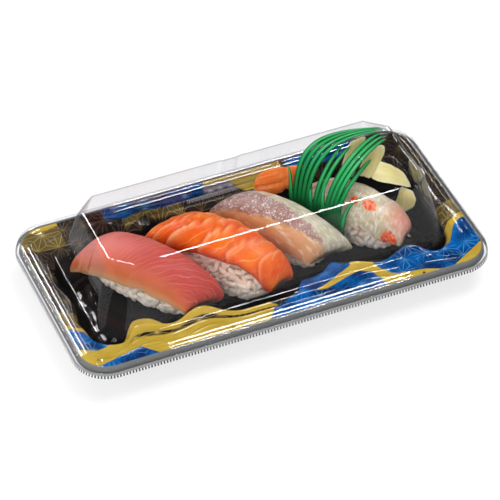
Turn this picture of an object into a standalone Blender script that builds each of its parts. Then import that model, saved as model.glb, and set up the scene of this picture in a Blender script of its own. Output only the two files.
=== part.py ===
"""A takeaway sushi tray: four nigiri, a leaf divider and ginger in a printed tray under a clear lid.

Blender 4.5, metres, +Z up.  The origin is the middle of the footprint on the table.
+X runs along the length, -Y is the front, and the tuna nigiri lies at -X.
Sizes below are in millimetres and pass through MM once, where a mesh is made.
"""
import math

import bmesh
import bpy
from mathutils import noise, Vector

MM = 0.001
GAP = 0.35                      # left between pieces that touch

# ---------------------------------------------------------------- driving sizes, in mm
LENGTH = 220.0                  # lid skirt, end to end
WIDTH = 113.5                   # lid skirt, front to back
CORNER_R = 17.4                 # lid skirt, in plan
HEIGHT = 54.0                   # table to lid ceiling
SKIRT_BOTTOM = 13.2             # the lid's skirt hangs clear of the table
RIM_TOP = 19.7                  # highest line of the lid's rim
LID_SHEET = 0.45
TRAY_SHEET = 0.9
FLOOR_TOP = 1.2                 # the tray's floor, where the food stands
CEILING_HALF = (83.4, 28.5)     # flat eight-sided ceiling of the dome
CEILING_CUT = (10.4, 9.2)       # what its corners lose along X and Y
FOOT_HALF = (94.0, 38.6)        # the dome's foot on the rim
FOOT_R = 13.0
WAVE_PITCH = 31.0               # from one bump of the tray's wavy inner edge to the next
RICE_LEVEL = 8.5                # where a block of rice is widest

HALF = (LENGTH / 2, WIDTH / 2)


# ---------------------------------------------------------------- helpers
def material(name, colour, roughness, alpha=1.0):
    mat = bpy.data.materials.new(name)
    mat.use_nodes = True
    shader = mat.node_tree.nodes["Principled BSDF"]
    shader.inputs["Base Color"].default_value = (*colour, 1.0)
    shader.inputs["Roughness"].default_value = roughness
    shader.inputs["Metallic"].default_value = 0.0
    shader.inputs["Alpha"].default_value = alpha
    return mat


def finish(name, bm, collection, mat, smooth_angle=35.0):
    """Turn a closed bmesh in millimetres into a named object in metres."""
    bmesh.ops.scale(bm, vec=(MM, MM, MM), verts=bm.verts)
    bmesh.ops.recalc_face_normals(bm, faces=bm.faces)
    mesh = bpy.data.meshes.new(name)
    bm.to_mesh(mesh)
    bm.free()
    mesh.shade_smooth()
    mesh.set_sharp_from_angle(angle=math.radians(smooth_angle))
    mesh.materials.append(mat)
    part = bpy.data.objects.new(name, mesh)
    collection.objects.link(part)
    return part


def solidify(part, thickness):
    """Give an open sheet its thickness, below the modelled face."""
    modifier = part.modifiers.new("sheet", "SOLIDIFY")
    modifier.thickness = thickness * MM
    modifier.offset = -1.0
    modifier.use_even_offset = True
    modifier.thickness_clamp = 1.0
    return part


def bridge(bm, ring_a, ring_b, closed=True):
    """Quads between two rows of vertices of the same count."""
    count = len(ring_a)
    for i in range(count if closed else count - 1):
        j = (i + 1) % count
        bm.faces.new((ring_a[i], ring_a[j], ring_b[j], ring_b[i]))


def blend(edge0, edge1, x):
    """Smooth step from 0 at edge0 to 1 at edge1."""
    t = min(max((x - edge0) / (edge1 - edge0), 0.0), 1.0)
    return t * t * (3.0 - 2.0 * t)


def mix(a, b, t):
    return a + (b - a) * t


# ---------------------------------------------------------------- rings in plan
class Ring:
    """A rounded rectangle in plan, walked anticlockwise from the front right corner's start.

    Every ring has the same number of points, so any two can be bridged.  cut=(x, y) replaces
    the round corners by straight cuts.
    """

    def __init__(self, half, radius, z, cut=None):
        self.half = half
        self.radius = cut if cut else (radius, radius)
        self.straight_cut = cut is not None
        self.z = z

    def points(self, n_long, n_short, n_corner):
        hx, hy = self.half
        rx, ry = self.radius
        sides = (
            ((-hx + rx, -hy), (hx - rx, -hy), n_long),
            ((hx, -hy + ry), (hx, hy - ry), n_short),
            ((hx - rx, hy), (-hx + rx, hy), n_long),
            ((-hx, hy - ry), (-hx, -hy + ry), n_short),
        )
        out = []
        for side, (start, end, steps) in enumerate(sides):
            for i in range(steps):
                t = i / steps
                out.append((mix(start[0], end[0], t), mix(start[1], end[1], t), side))
            following = sides[(side + 1) % 4][0]
            for i in range(n_corner):
                t = i / n_corner
                out.append((*self.corner(side, end, following, t), side))
        return out

    def corner(self, side, start, end, t):
        if self.straight_cut:
            return mix(start[0], end[0], t), mix(start[1], end[1], t)
        rx, ry = self.radius
        angle = math.radians(-90 + 90 * side + 90 * t)
        centre = (
            (self.half[0] - rx) * (1 if side in (0, 1) else -1),
            (self.half[1] - ry) * (1 if side in (1, 2) else -1),
        )
        return centre[0] + rx * math.cos(angle), centre[1] + ry * math.sin(angle)


def inset(distance, z, radius_floor=4.0):
    """The lid's outline moved in by a distance."""
    radius = max(CORNER_R - distance, radius_floor)
    return Ring((HALF[0] - distance, HALF[1] - distance), radius, z)


# ---------------------------------------------------------------- lid
def build_lid(collection, mat):
    """One thin clear sheet: ribbed skirt, stepped rim, and a dome with sloping sides."""
    rings = [
        inset(0.0, SKIRT_BOTTOM),
        inset(0.6, SKIRT_BOTTOM + 3.2),
        inset(1.3, RIM_TOP - 0.7),
        inset(2.2, RIM_TOP),
        inset(8.4, RIM_TOP),
        inset(9.4, RIM_TOP - 0.6),
        Ring((FOOT_HALF[0] + 1.2, FOOT_HALF[1] + 1.2), FOOT_R + 1.2, RIM_TOP - 0.3),
        Ring((FOOT_HALF[0] - 0.6, FOOT_HALF[1] - 0.6), FOOT_R, RIM_TOP + 1.6),
        Ring((CEILING_HALF[0] + 0.4, CEILING_HALF[1] + 0.4), 0.0, HEIGHT - 1.4,
             cut=(CEILING_CUT[0] + 0.2, CEILING_CUT[1] + 0.2)),
        Ring((CEILING_HALF[0] - 0.8, CEILING_HALF[1] - 0.8), 0.0, HEIGHT, cut=CEILING_CUT),
    ]
    bm = bmesh.new()
    rows = []
    for ring in rings:
        rows.append([bm.verts.new((x, y, ring.z)) for x, y, _ in ring.points(10, 5, 4)])
    for row_a, row_b in zip(rows, rows[1:]):
        bridge(bm, row_a, row_b)
    bm.faces.new(rows[-1])
    lid = finish("lid", bm, collection, mat)
    return solidify(lid, LID_SHEET)


# ---------------------------------------------------------------- tray
INNER_HALF = (98.0, 38.0)       # the tray's inner edge before its waves
INNER_R = 14.0
WAVES_END = (74.0, 84.0)        # along X, where the long sides' waves fade into the corners
SHELVES = ((24.0, 12.5, 9.0), (-72.0, 10.0, 4.5))   # middle, half length and depth


def wave(along, crest):
    """A cosine with its crest at a place along the edge."""
    return math.cos(2 * math.pi * (along - crest) / WAVE_PITCH)


def front_edge(x):
    """Distance from the middle line to the wavy inner edge along the front."""
    ax = abs(x)
    edge = mix(39.4, 31.5 + 2.8 * wave(ax, 56.0), blend(20.0, 38.0, ax))
    return mix(edge, INNER_HALF[1], blend(*WAVES_END, ax))


def back_edge(x):
    """The same along the back, where the wall stands further out and its bumps are deeper."""
    ax = abs(x)
    edge = mix(39.8, 43.0 + 3.4 * wave(ax, 65.0), blend(24.0, 44.0, ax))
    return mix(edge, INNER_HALF[1], blend(*WAVES_END, ax))


def end_edge(y):
    """Distance from the middle to the inner edge at the two ends, with one shallow wave."""
    return INNER_HALF[0] - 1.4 * wave(y, 0.0) * blend(24.0, 14.0, abs(y))


def shelf(x):
    """How far the front wall's upper part slopes gently inwards before it drops."""
    return sum(depth * blend(half + 4.0, half - 4.0, abs(x - middle))
               for middle, half, depth in SHELVES)


def wavy(point, reach, on_shelf=0.0):
    """A point of the inner edge's ring, moved on to the waves and in by reach down the wall."""
    x, y, side = point
    if side == 0:
        y += INNER_HALF[1] - front_edge(x) + on_shelf * shelf(x)
    elif side == 2:
        y -= INNER_HALF[1] - back_edge(x)
    else:
        x = math.copysign(abs(x) - INNER_HALF[0] + end_edge(y), x)
    return x * (1.0 - reach / INNER_HALF[0]), y * (1.0 - reach / INNER_HALF[1]), side


def build_tray(collection, mat):
    """One printed sheet: turned-down lip, flat flange, wavy inner edge, fluted wall and floor."""
    counts = (32, 6, 4)
    lip = 1.3 + LID_SHEET + GAP
    inner = Ring(INNER_HALF, INNER_R, 0.0).points(*counts)

    # Each row: its points, its height, and where the sheet's other face lies: out and down.
    rows = [
        (inset(lip + 0.2, 0.0).points(*counts), SKIRT_BOTTOM + 1.6, -0.8, 0.0),
        (inset(lip + 0.4, 0.0).points(*counts), RIM_TOP - 2.2, -0.8, 0.3),
        (inset(lip + 1.4, 0.0).points(*counts), RIM_TOP - 1.2, -0.3, TRAY_SHEET),
        (inset(9.6, 0.0).points(*counts), RIM_TOP - 1.4, 0.0, TRAY_SHEET),
        (inset(13.0, 0.0, 6.0).points(*counts), RIM_TOP - 1.9, 0.0, TRAY_SHEET),
        ([wavy(p, 0.0) for p in inner], 17.0, 0.4, TRAY_SHEET),
        ([wavy(p, 1.6, 1.0) for p in inner], 13.4, 0.9, 0.6),
        ([wavy(p, 5.2, 0.75) for p in inner], 5.0, 0.8, 0.6),
        ([wavy(p, 8.6, 0.55) for p in inner], FLOOR_TOP, 0.3, FLOOR_TOP),
    ]
    bm = bmesh.new()
    faces = []
    for other_side in (0.0, 1.0):
        loops = []
        for points, z, out, down in rows:
            grow_x = 1.0 + other_side * out / INNER_HALF[0]
            grow_y = 1.0 + other_side * out / INNER_HALF[1]
            loops.append([bm.verts.new((x * grow_x, y * grow_y, z - other_side * down))
                          for x, y, _ in points])
        for loop_a, loop_b in zip(loops, loops[1:]):
            bridge(bm, loop_a, loop_b)
        bm.faces.new(loops[-1])
        faces.append(loops[0])
    bridge(bm, faces[0], faces[1])
    return finish("tray", bm, collection, mat)


# ---------------------------------------------------------------- nigiri
class Rice:
    """A pressed block of rice: long, round-shouldered, flat below.

    s runs along the block, t across it to the right, in mm from the block's middle.
    """

    POWER_S = 0.62                  # under 1: squarer than an ellipsoid
    POWER_T = 0.78

    def __init__(self, centre, heading, half_length, half_width, top):
        self.centre = centre
        self.heading = math.radians(heading)
        self.half = (half_length, half_width)
        self.top = top

    def local(self, x, y):
        dx, dy = x - self.centre[0], y - self.centre[1]
        c, n = math.cos(self.heading), math.sin(self.heading)
        return dx * c + dy * n, -dx * n + dy * c

    def place(self, s, t, z):
        c, n = math.cos(self.heading), math.sin(self.heading)
        return (self.centre[0] + s * c - t * n, self.centre[1] + s * n + t * c, z)

    def top_at(self, x, y, margin=1.0):
        """Height of the smooth block under a point in plan, or the widest level outside it."""
        s, t = self.local(x, y)
        left = 1.0 - abs(s / (self.half[0] + margin)) ** (2 / self.POWER_S)
        left -= abs(t / (self.half[1] + margin)) ** (2 / self.POWER_T)
        if left <= 0.0:
            return RICE_LEVEL
        return RICE_LEVEL + (self.top - RICE_LEVEL) * math.sqrt(left)

    def build(self, collection, mat, name):
        """The block out to the uneven outline of its grains."""
        bm = bmesh.new()
        bmesh.ops.create_uvsphere(bm, u_segments=16, v_segments=10, radius=1.0)
        for vert in bm.verts:
            d = vert.co.copy()
            seed = Vector((self.centre[0], 0.0, 0.0))
            lump = 1.0 - 0.07 * abs(noise.noise(d * 2.6 + seed))
            s = math.copysign(abs(d.x) ** self.POWER_S, d.x) * self.half[0] * lump
            t = math.copysign(abs(d.y) ** self.POWER_T, d.y) * self.half[1] * lump
            if d.z >= 0.0:
                z = RICE_LEVEL + (self.top - RICE_LEVEL) * d.z * lump
            else:
                z = max(RICE_LEVEL + (RICE_LEVEL - FLOOR_TOP) * 1.3 * d.z, FLOOR_TOP + GAP)
            vert.co = Vector(self.place(s, t, z))
        return finish(name, bm, collection, mat, 60.0)


class Slice:
    """A slab draped along a block of rice.

    s runs from back to front, t across to the right.  half is the reach of the slab's underside
    along s, and widths, bends and skews are read along the slab: half width of the underside,
    sideways shift, and how far the ends are cut aslant.  hang says how far round the block the
    left and the right edge come down, in degrees from the top.
    """

    THETA = math.radians(80.0)      # how far round the block the two ends come down
    ARCH_POWER = 0.6                # under 1: flatter along the top than a circle
    EDGE_TAPER = 0.35               # thickness lost at the long edges
    END_TAPER = 0.25                # and at the ends

    def __init__(self, rice, centre, heading, half, top, widths, bends, skews, hang, thick):
        self.rice = rice
        self.centre = centre
        self.heading = math.radians(heading)
        self.half = half
        self.top = top
        self.widths = widths
        self.bends = bends
        self.skews = skews
        self.hang = tuple(math.radians(angle) for angle in hang)
        self.thick = thick

    def place(self, s, t, z):
        c, n = math.cos(self.heading), math.sin(self.heading)
        return (self.centre[0] + s * c - t * n, self.centre[1] + s * n + t * c, z)

    @staticmethod
    def along(values, u):
        """Read a back, middle, front triple at u from -1 to 1, on a parabola."""
        back, middle, front = values
        return middle + (front - back) / 2 * u + ((front + back) / 2 - middle) * u * u

    def point(self, u, v, out):
        """A point of the slab; out is the distance from its underside."""
        theta = u * self.THETA
        phi = v * (self.hang[0] if v < 0 else self.hang[1])
        t = self.along(self.bends, u) + (self.along(self.widths, u) + out) * math.sin(phi)
        s = (self.half + out * abs(u)) * math.sin(theta) / math.sin(self.THETA)
        s += (self.skews[0] * max(-u, 0.0) + self.skews[1] * max(u, 0.0)) * t
        arch = (self.top - RICE_LEVEL + out) * math.cos(theta) ** self.ARCH_POWER * math.cos(phi)
        x, y, z = self.place(s, t, RICE_LEVEL + arch)
        return x, y, max(z, self.rice.top_at(x, y) + GAP + out)

    def build(self, collection, mat, name, nu=12, nv=6):
        bm = bmesh.new()
        faces = []
        for top_side in (False, True):
            rows = []
            for i in range(nu + 1):
                u = 2.0 * i / nu - 1.0
                row = []
                for j in range(nv + 1):
                    v = 2.0 * j / nv - 1.0
                    taper = 1.0 - self.EDGE_TAPER * v ** 4 - self.END_TAPER * u ** 4
                    out = self.thick * taper if top_side else 0.0
                    row.append(bm.verts.new(self.point(u, v, out)))
                rows.append(row)
            for row_a, row_b in zip(rows, rows[1:]):
                bridge(bm, row_a, row_b, closed=False)
            faces.append(rows)
        low, high = faces
        edges = (
            (low[0], high[0]), (low[-1], high[-1]),
            ([row[0] for row in low], [row[0] for row in high]),
            ([row[-1] for row in low], [row[-1] for row in high]),
        )
        for edge_a, edge_b in edges:
            bridge(bm, edge_a, edge_b, closed=False)
        return finish(name, bm, collection, mat, 50.0)


def nigiri_set():
    """Each block of rice with the slab on it, from the left."""
    tuna_rice = Rice((-52.2, 4.8), -54.0, 30.0, 13.0, 22.6)
    salmon_rice = Rice((-14.5, 0.0), -57.0, 27.0, 13.0, 22.0)
    bream_rice = Rice((20.5, 9.5), -60.0, 25.0, 11.3, 23.0)
    shrimp_rice = Rice((59.5, 6.0), -50.0, 25.0, 12.6, 21.5)
    return {
        "tuna": (tuna_rice, Slice(tuna_rice, (-52.2, 4.0), -56.0, 32.8, 25.8, (13.2, 12.3, 8.0),
                                  (-4.0, 0.6, -3.5), (0.15, 0.5), (76.0, 84.0), 4.6)),
        "salmon": (salmon_rice, Slice(salmon_rice, (-13.8, 3.2), -57.0, 33.5, 25.8,
                                      (12.5, 13.0, 6.0), (-2.0, 2.0, -0.5), (0.4, 0.2),
                                      (74.0, 84.0), 4.6)),
        "bream": (bream_rice, Slice(bream_rice, (20.5, 10.0), -60.0, 29.0, 26.6,
                                    (10.0, 11.3, 11.0), (-1.6, 0.0, 0.0), (0.6, 0.4),
                                    (80.0, 84.0), 3.2)),
        "shrimp": (shrimp_rice, Slice(shrimp_rice, (59.5, 6.0), -47.0, 28.0, 23.8,
                                      (8.0, 12.4, 4.0), (4.5, 1.5, -5.0), (0.6, 0.0),
                                      (78.0, 84.0), 3.8)),
    }


def build_tail(collection, mat):
    """The shrimp's tail fan, spread out and standing behind the body."""
    root, tip = Vector((41.0, 29.5, 27.0)), Vector((15.5, 32.6, 25.0))
    axis = tip - root
    across = Vector((0.10, 0.22, 0.97)).normalized()
    lift = across.cross(axis).normalized()
    steps, spread = 7, 8
    bm = bmesh.new()
    layers = []
    for side in (-1.0, 1.0):
        rows = []
        for i in range(steps + 1):
            u = i / steps
            half = mix(4.5, 7.6, math.sin(u * math.pi)) - 2.0 * u
            row = []
            for j in range(spread + 1):
                v = 2.0 * j / spread - 1.0
                thick = 2.0 * (1.0 - 0.6 * v * v) * (1.0 - 0.5 * u) + 0.4
                groove = 0.9 * u * math.exp(-(v * 4.0) ** 2)
                centre = root + axis * u * (1.0 - 0.14 * u * v * v) + across * half * v
                row.append(bm.verts.new(centre + lift * (side * thick - groove)))
            rows.append(row)
        for row_a, row_b in zip(rows, rows[1:]):
            bridge(bm, row_a, row_b, closed=False)
        layers.append(rows)
    low, high = layers
    for edge_a, edge_b in ((low[0], high[0]), (low[-1], high[-1]),
                           ([r[0] for r in low], [r[0] for r in high]),
                           ([r[-1] for r in low], [r[-1] for r in high])):
        bridge(bm, edge_a, edge_b, closed=False)
    return finish("shrimp_tail", bm, collection, mat, 50.0)


# ---------------------------------------------------------------- divider
DIVIDER_FOOT = (33.5, 17.8)     # a point of the sheet's foot line
DIVIDER_HEADING = -60.0
DIVIDER_SHEET = 0.4

# Blades from the back of the sheet to its front: tip as (out, along, height), and how far the
# blade stands up before it bends over, 0 to 1.
# Out is measured square to the sheet, to the right; along runs to the front.
BLADES = (
    (6.0, -14.0, 36.5, 0.0),
    (42.0, 19.5, 51.0, 1.0), (42.4, 20.8, 50.9, 0.85), (42.4, 22.2, 50.8, 0.7),
    (42.0, 23.5, 50.6, 0.55),
    (4.0, 5.0, 33.0, 0.0),
    (26.0, 8.5, 45.0, 0.0), (28.0, 11.5, 44.0, 0.0),
    (4.5, 13.5, 35.0, 0.0),
    (40.0, 21.5, 49.5, 0.0), (40.0, 23.5, 48.8, 0.0), (39.5, 25.0, 47.8, 0.0),
    (30.0, 23.0, 40.0, 0.0),
    (13.0, 30.5, 30.0, 0.0),
)
BLADE_PITCH = 2.45
FIRST_BLADE = -6.0              # where the first blade starts along the foot line
NOTCH_HEIGHTS = (20.5, 28.5)    # where the cuts between blades end, at the back and the front
LAST_NOTCH = 17.5               # and beside the last blade, which hangs lower


def blade_root(index):
    """Height of the notch line: it climbs towards the front and falls at the last blade."""
    if index >= len(BLADES) - 1:
        return LAST_NOTCH
    return mix(*NOTCH_HEIGHTS, index / (len(BLADES) - 2))


def divider_point(out, along, height):
    a = math.radians(DIVIDER_HEADING)
    x = DIVIDER_FOOT[0] + along * math.cos(a) - out * math.sin(a)
    y = DIVIDER_FOOT[1] + along * math.sin(a) + out * math.cos(a)
    return Vector((x, y, height))


def blade_centre(index, t):
    """The blade rises out of the sheet, then leans over towards its tip."""
    out, along, height, bow = BLADES[index]
    start = FIRST_BLADE + (index + 0.5) * BLADE_PITCH
    root = blade_root(index)
    lean = mix(mix(t, t * t * (3.0 - 2.0 * t), 0.5), t ** 1.5, bow)
    drift = mix(start, along, t ** (2.2 + 0.9 * bow)) - math.sin(math.pi * t)
    return out * lean, drift, mix(root, height, 1.0 - (1.0 - t) ** (2.2 + 1.8 * bow))


def build_divider(collection, mat):
    """A stamped plastic leaf: a foot strip, and blades cut into its upper half."""
    count, steps = len(BLADES), 7
    bm = bmesh.new()
    foot = []
    for height in (FLOOR_TOP + GAP, 9.0, 16.0):
        foot.append([bm.verts.new(divider_point(0.0, FIRST_BLADE + i * BLADE_PITCH, height))
                     for i in range(count + 1)])
    notch = []
    for i in range(count + 1):
        height = min(blade_root(max(i - 1, 0)), blade_root(min(i, count - 1)))
        notch.append(bm.verts.new(divider_point(0.0, FIRST_BLADE + i * BLADE_PITCH, height)))
    for row_a, row_b in zip(foot, foot[1:] + [notch]):
        bridge(bm, row_a, row_b, closed=False)
    for index in range(count):
        previous = (notch[index], notch[index + 1])
        for step in range(1, steps):
            t = step / steps
            out, along, height = blade_centre(index, t)
            half = BLADE_PITCH / 2 * (1.0 - 0.25 * t) * (1.0 - t ** 5)
            pair = tuple(bm.verts.new(divider_point(out, along + side * half, height))
                         for side in (-1.0, 1.0))
            bm.faces.new((previous[0], previous[1], pair[1], pair[0]))
            previous = pair
        tip = bm.verts.new(divider_point(*blade_centre(index, 1.0)))
        bm.faces.new((previous[0], previous[1], tip))
    divider = finish("divider", bm, collection, mat)
    return solidify(divider, DIVIDER_SHEET)


# ---------------------------------------------------------------- ginger
# Each slice: middle, half axis up or along, half axis across, bow across its width
GINGER = (
    ((65.0, 21.2, 37.2), (4.6, 2.5, 9.3), (3.8, -1.6, -0.6), 1.2),
    ((72.5, 15.2, 35.8), (5.2, 1.4, 7.6), (3.6, -2.0, -0.6), 1.0),
    ((81.2, 12.6, 25.5), (9.4, -3.6, -3.1), (1.4, 6.8, 1.0), 1.4),
    ((86.0, 3.2, 15.3), (2.6, 1.5, 5.2), (3.4, -3.4, -0.5), 1.0),
)
GINGER_SHEET = 1.6


def build_ginger(index, collection, mat):
    """A thin shaved slice, round in outline and bowed."""
    middle, long_axis, cross_axis, bow = (Vector(v) if isinstance(v, tuple) else v
                                          for v in GINGER[index])
    normal = long_axis.cross(cross_axis).normalized()
    rings, segments = 3, 16
    bm = bmesh.new()
    layers = []
    for side in (-0.5, 0.5):
        def point(r, a):
            ripple = 1.0 + 0.07 * math.sin(3 * a + index) + 0.04 * math.sin(5 * a + 2 * index)
            x, y = r * ripple * math.cos(a), r * ripple * math.sin(a)
            sag = bow * (y * y - 0.4 * x * x) + 0.4 * math.sin(3 * x + index)
            thick = GINGER_SHEET * (1.0 - 0.5 * r ** 4)
            return middle + long_axis * x + cross_axis * y + normal * (sag + side * thick)
        hub = bm.verts.new(point(0.0, 0.0))
        rows = [[bm.verts.new(point(k / rings, 2 * math.pi * i / segments))
                 for i in range(segments)] for k in range(1, rings + 1)]
        for i in range(segments):
            bm.faces.new((hub, rows[0][i], rows[0][(i + 1) % segments]))
        for row_a, row_b in zip(rows, rows[1:]):
            bridge(bm, row_a, row_b)
        layers.append(rows[-1])
    bridge(bm, layers[0], layers[1])
    return finish("ginger_%d" % (index + 1), bm, collection, mat, 50.0)


# ---------------------------------------------------------------- assembly
def main():
    for old in list(bpy.data.objects):
        bpy.data.objects.remove(old, do_unlink=True)
    collection = bpy.data.collections.new("sushi_tray")
    bpy.context.scene.collection.children.link(collection)
    colours = {
        "tuna": (0.55, 0.11, 0.10),
        "salmon": (0.80, 0.20, 0.04),
        "bream": (0.72, 0.60, 0.48),
        "shrimp": (0.80, 0.52, 0.38),
    }
    rice_mat = material("rice", (0.78, 0.76, 0.70), 0.35)
    build_lid(collection, material("clear_sheet", (0.95, 0.96, 0.97), 0.05, 0.15))
    build_tray(collection, material("printed_sheet", (0.03, 0.06, 0.25), 0.25))
    for name, (rice, topping) in nigiri_set().items():
        topping.build(collection, material(name, colours[name], 0.35), name + "_slice")
        rice.build(collection, rice_mat, name + "_rice")
    build_tail(collection, material("tail_shell", (0.80, 0.17, 0.03), 0.3))
    build_divider(collection, material("green_sheet", (0.01, 0.25, 0.08), 0.3))
    ginger_mat = material("ginger", (0.78, 0.74, 0.38), 0.35)
    for index in range(len(GINGER)):
        build_ginger(index, collection, ginger_mat)


main()
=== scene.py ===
"""The looks of a takeaway sushi tray: printed tray, clear lid, four nigiri, leaf divider, ginger.

Sizes in the code are millimetres, in the frame's own axes: +X along the tray, -Y the front, +Z up.
MM turns them into metres once, where a mesh is made.  Shapes repeat the construction's sizes at a
finer step, and outer sizes come from the frame's boxes.
"""
import math

import bpy
import numpy as np
from mathutils import Matrix, noise, Vector


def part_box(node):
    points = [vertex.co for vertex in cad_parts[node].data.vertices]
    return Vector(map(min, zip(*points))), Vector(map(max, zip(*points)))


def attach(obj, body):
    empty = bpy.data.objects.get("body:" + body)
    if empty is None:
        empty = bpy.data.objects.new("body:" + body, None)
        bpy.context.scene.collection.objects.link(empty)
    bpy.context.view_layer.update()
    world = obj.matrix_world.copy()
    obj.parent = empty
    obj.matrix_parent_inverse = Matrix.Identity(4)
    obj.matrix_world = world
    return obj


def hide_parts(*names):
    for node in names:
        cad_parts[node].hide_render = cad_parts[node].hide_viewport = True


MM = 0.001
GAP = 0.35                       # left between pieces that touch
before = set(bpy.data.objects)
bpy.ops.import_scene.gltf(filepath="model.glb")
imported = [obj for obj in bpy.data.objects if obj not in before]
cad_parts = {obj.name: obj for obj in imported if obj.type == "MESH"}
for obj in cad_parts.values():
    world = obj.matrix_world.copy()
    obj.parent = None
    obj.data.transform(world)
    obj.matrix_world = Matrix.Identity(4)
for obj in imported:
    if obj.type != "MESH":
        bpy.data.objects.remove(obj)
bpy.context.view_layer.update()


def box_mm(node):
    """A CAD node's lowest and highest corners in millimetres."""
    low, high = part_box(node)
    return low / MM, high / MM


# ---------------------------------------------------------------- driving sizes, in mm
LID_LOW, LID_HIGH = box_mm("lid")
LENGTH = LID_HIGH.x - LID_LOW.x
WIDTH = LID_HIGH.y - LID_LOW.y
HEIGHT = LID_HIGH.z
SKIRT_BOTTOM = LID_LOW.z
RIM_TOP = SKIRT_BOTTOM + 6.5
CORNER_R = 17.4
CEILING_HALF = (83.4, 28.5)
CEILING_CUT = (10.4, 9.2)
FOOT_HALF = (94.0, 38.6)
FOOT_R = 13.0
WAVE_PITCH = 31.0
FLOOR_TOP = 1.2
INNER_HALF = (98.0, 38.0)
INNER_R = 14.0
WAVES_END = (74.0, 84.0)
SHELVES = ((24.0, 12.5, 9.0), (-72.0, 10.0, 4.5))
RICE_LEVEL = 8.5


# ---------------------------------------------------------------- numbers
def clamp(x, low=0.0, high=1.0):
    return min(max(x, low), high)


def blend(edge0, edge1, x):
    """Smooth step from 0 at edge0 to 1 at edge1."""
    t = clamp((x - edge0) / (edge1 - edge0))
    return t * t * (3.0 - 2.0 * t)


def mix(a, b, t):
    return a + (b - a) * t


def hill(x, middle, width):
    """A smooth hill of height 1."""
    return math.exp(-((x - middle) / width) ** 2)


def wobble(*at, size=1.0, seed=0.0):
    """Smooth noise between about -1 and 1, for a point in millimetres."""
    point = [value / size for value in at] + [0.0] * (3 - len(at))
    return noise.noise(Vector((point[0] + seed * 7.31, point[1] - seed * 3.17, point[2] + seed)))


def linear(code):
    """A colour code such as "d8bd45" as linear light."""
    parts = [int(code[i:i + 2], 16) / 255 for i in (0, 2, 4)]
    return tuple(c / 12.92 if c <= 0.04045 else ((c + 0.055) / 1.055) ** 2.4 for c in parts)


# ---------------------------------------------------------------- meshes
class Shape:
    """Points, faces and values at the points, gathered for one piece."""

    def __init__(self):
        self.points = []
        self.faces = []
        self.values = {}

    def add(self, point, **values):
        self.points.append(tuple(point))
        for key, value in values.items():
            self.values.setdefault(key, []).append(value)
        return len(self.points) - 1

    def bridge(self, row_a, row_b, closed=True):
        count = len(row_a)
        for i in range(count if closed else count - 1):
            j = (i + 1) % count
            self.faces.append((row_a[i], row_a[j], row_b[j], row_b[i]))

    def loft(self, rows, closed=True):
        for row_a, row_b in zip(rows, rows[1:]):
            self.bridge(row_a, row_b, closed)

    def cap(self, row, flip=False):
        """Close a row with a fan round its middle point."""
        middle = sum((Vector(self.points[i]) for i in row), Vector()) / len(row)
        values = {key: sum(self.values[key][i] for i in row) / len(row) for key in self.values}
        hub = self.add(middle, **values)
        for i in range(len(row)):
            pair = (row[i], row[(i + 1) % len(row)])
            self.faces.append((hub, *(reversed(pair) if flip else pair)))

    def make(self, name, *materials):
        mesh = bpy.data.meshes.new(name)
        mesh.from_pydata([(x * MM, y * MM, z * MM) for x, y, z in self.points], [], self.faces)
        for key, column in self.values.items():
            layer = mesh.attributes.new(key, "FLOAT", "POINT")
            layer.data.foreach_set("value", np.array(column, np.float32))
        mesh.validate()
        mesh.shade_smooth()
        for material in materials:
            mesh.materials.append(material)
        piece = bpy.data.objects.new(name, mesh)
        bpy.context.scene.collection.objects.link(piece)
        return piece


def apply_modifiers(piece):
    graph = bpy.context.evaluated_depsgraph_get()
    graph.update()
    mesh = bpy.data.meshes.new_from_object(piece.evaluated_get(graph))
    piece.modifiers.clear()
    piece.data = mesh


def thicken(piece, thickness, side=-1.0, other_slot=0, even=False):
    """Give an open sheet its thickness; other_slot offsets the material of its second face."""
    modifier = piece.modifiers.new("sheet", "SOLIDIFY")
    modifier.thickness = thickness * MM
    modifier.offset = side
    modifier.use_even_offset = even
    modifier.material_offset = other_slot
    modifier.material_offset_rim = other_slot
    apply_modifiers(piece)


def outward(piece):
    """Turn all faces of a closed piece outwards."""
    import bmesh
    bm = bmesh.new()
    bm.from_mesh(piece.data)
    bmesh.ops.recalc_face_normals(bm, faces=bm.faces)
    bm.to_mesh(piece.data)
    bm.free()


def settle(piece, slot, *nodes):
    """Ride on the one body and stand for CAD nodes; slot is not used."""
    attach(piece, "root")
    if nodes:
        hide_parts(*nodes)
    return piece


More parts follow.
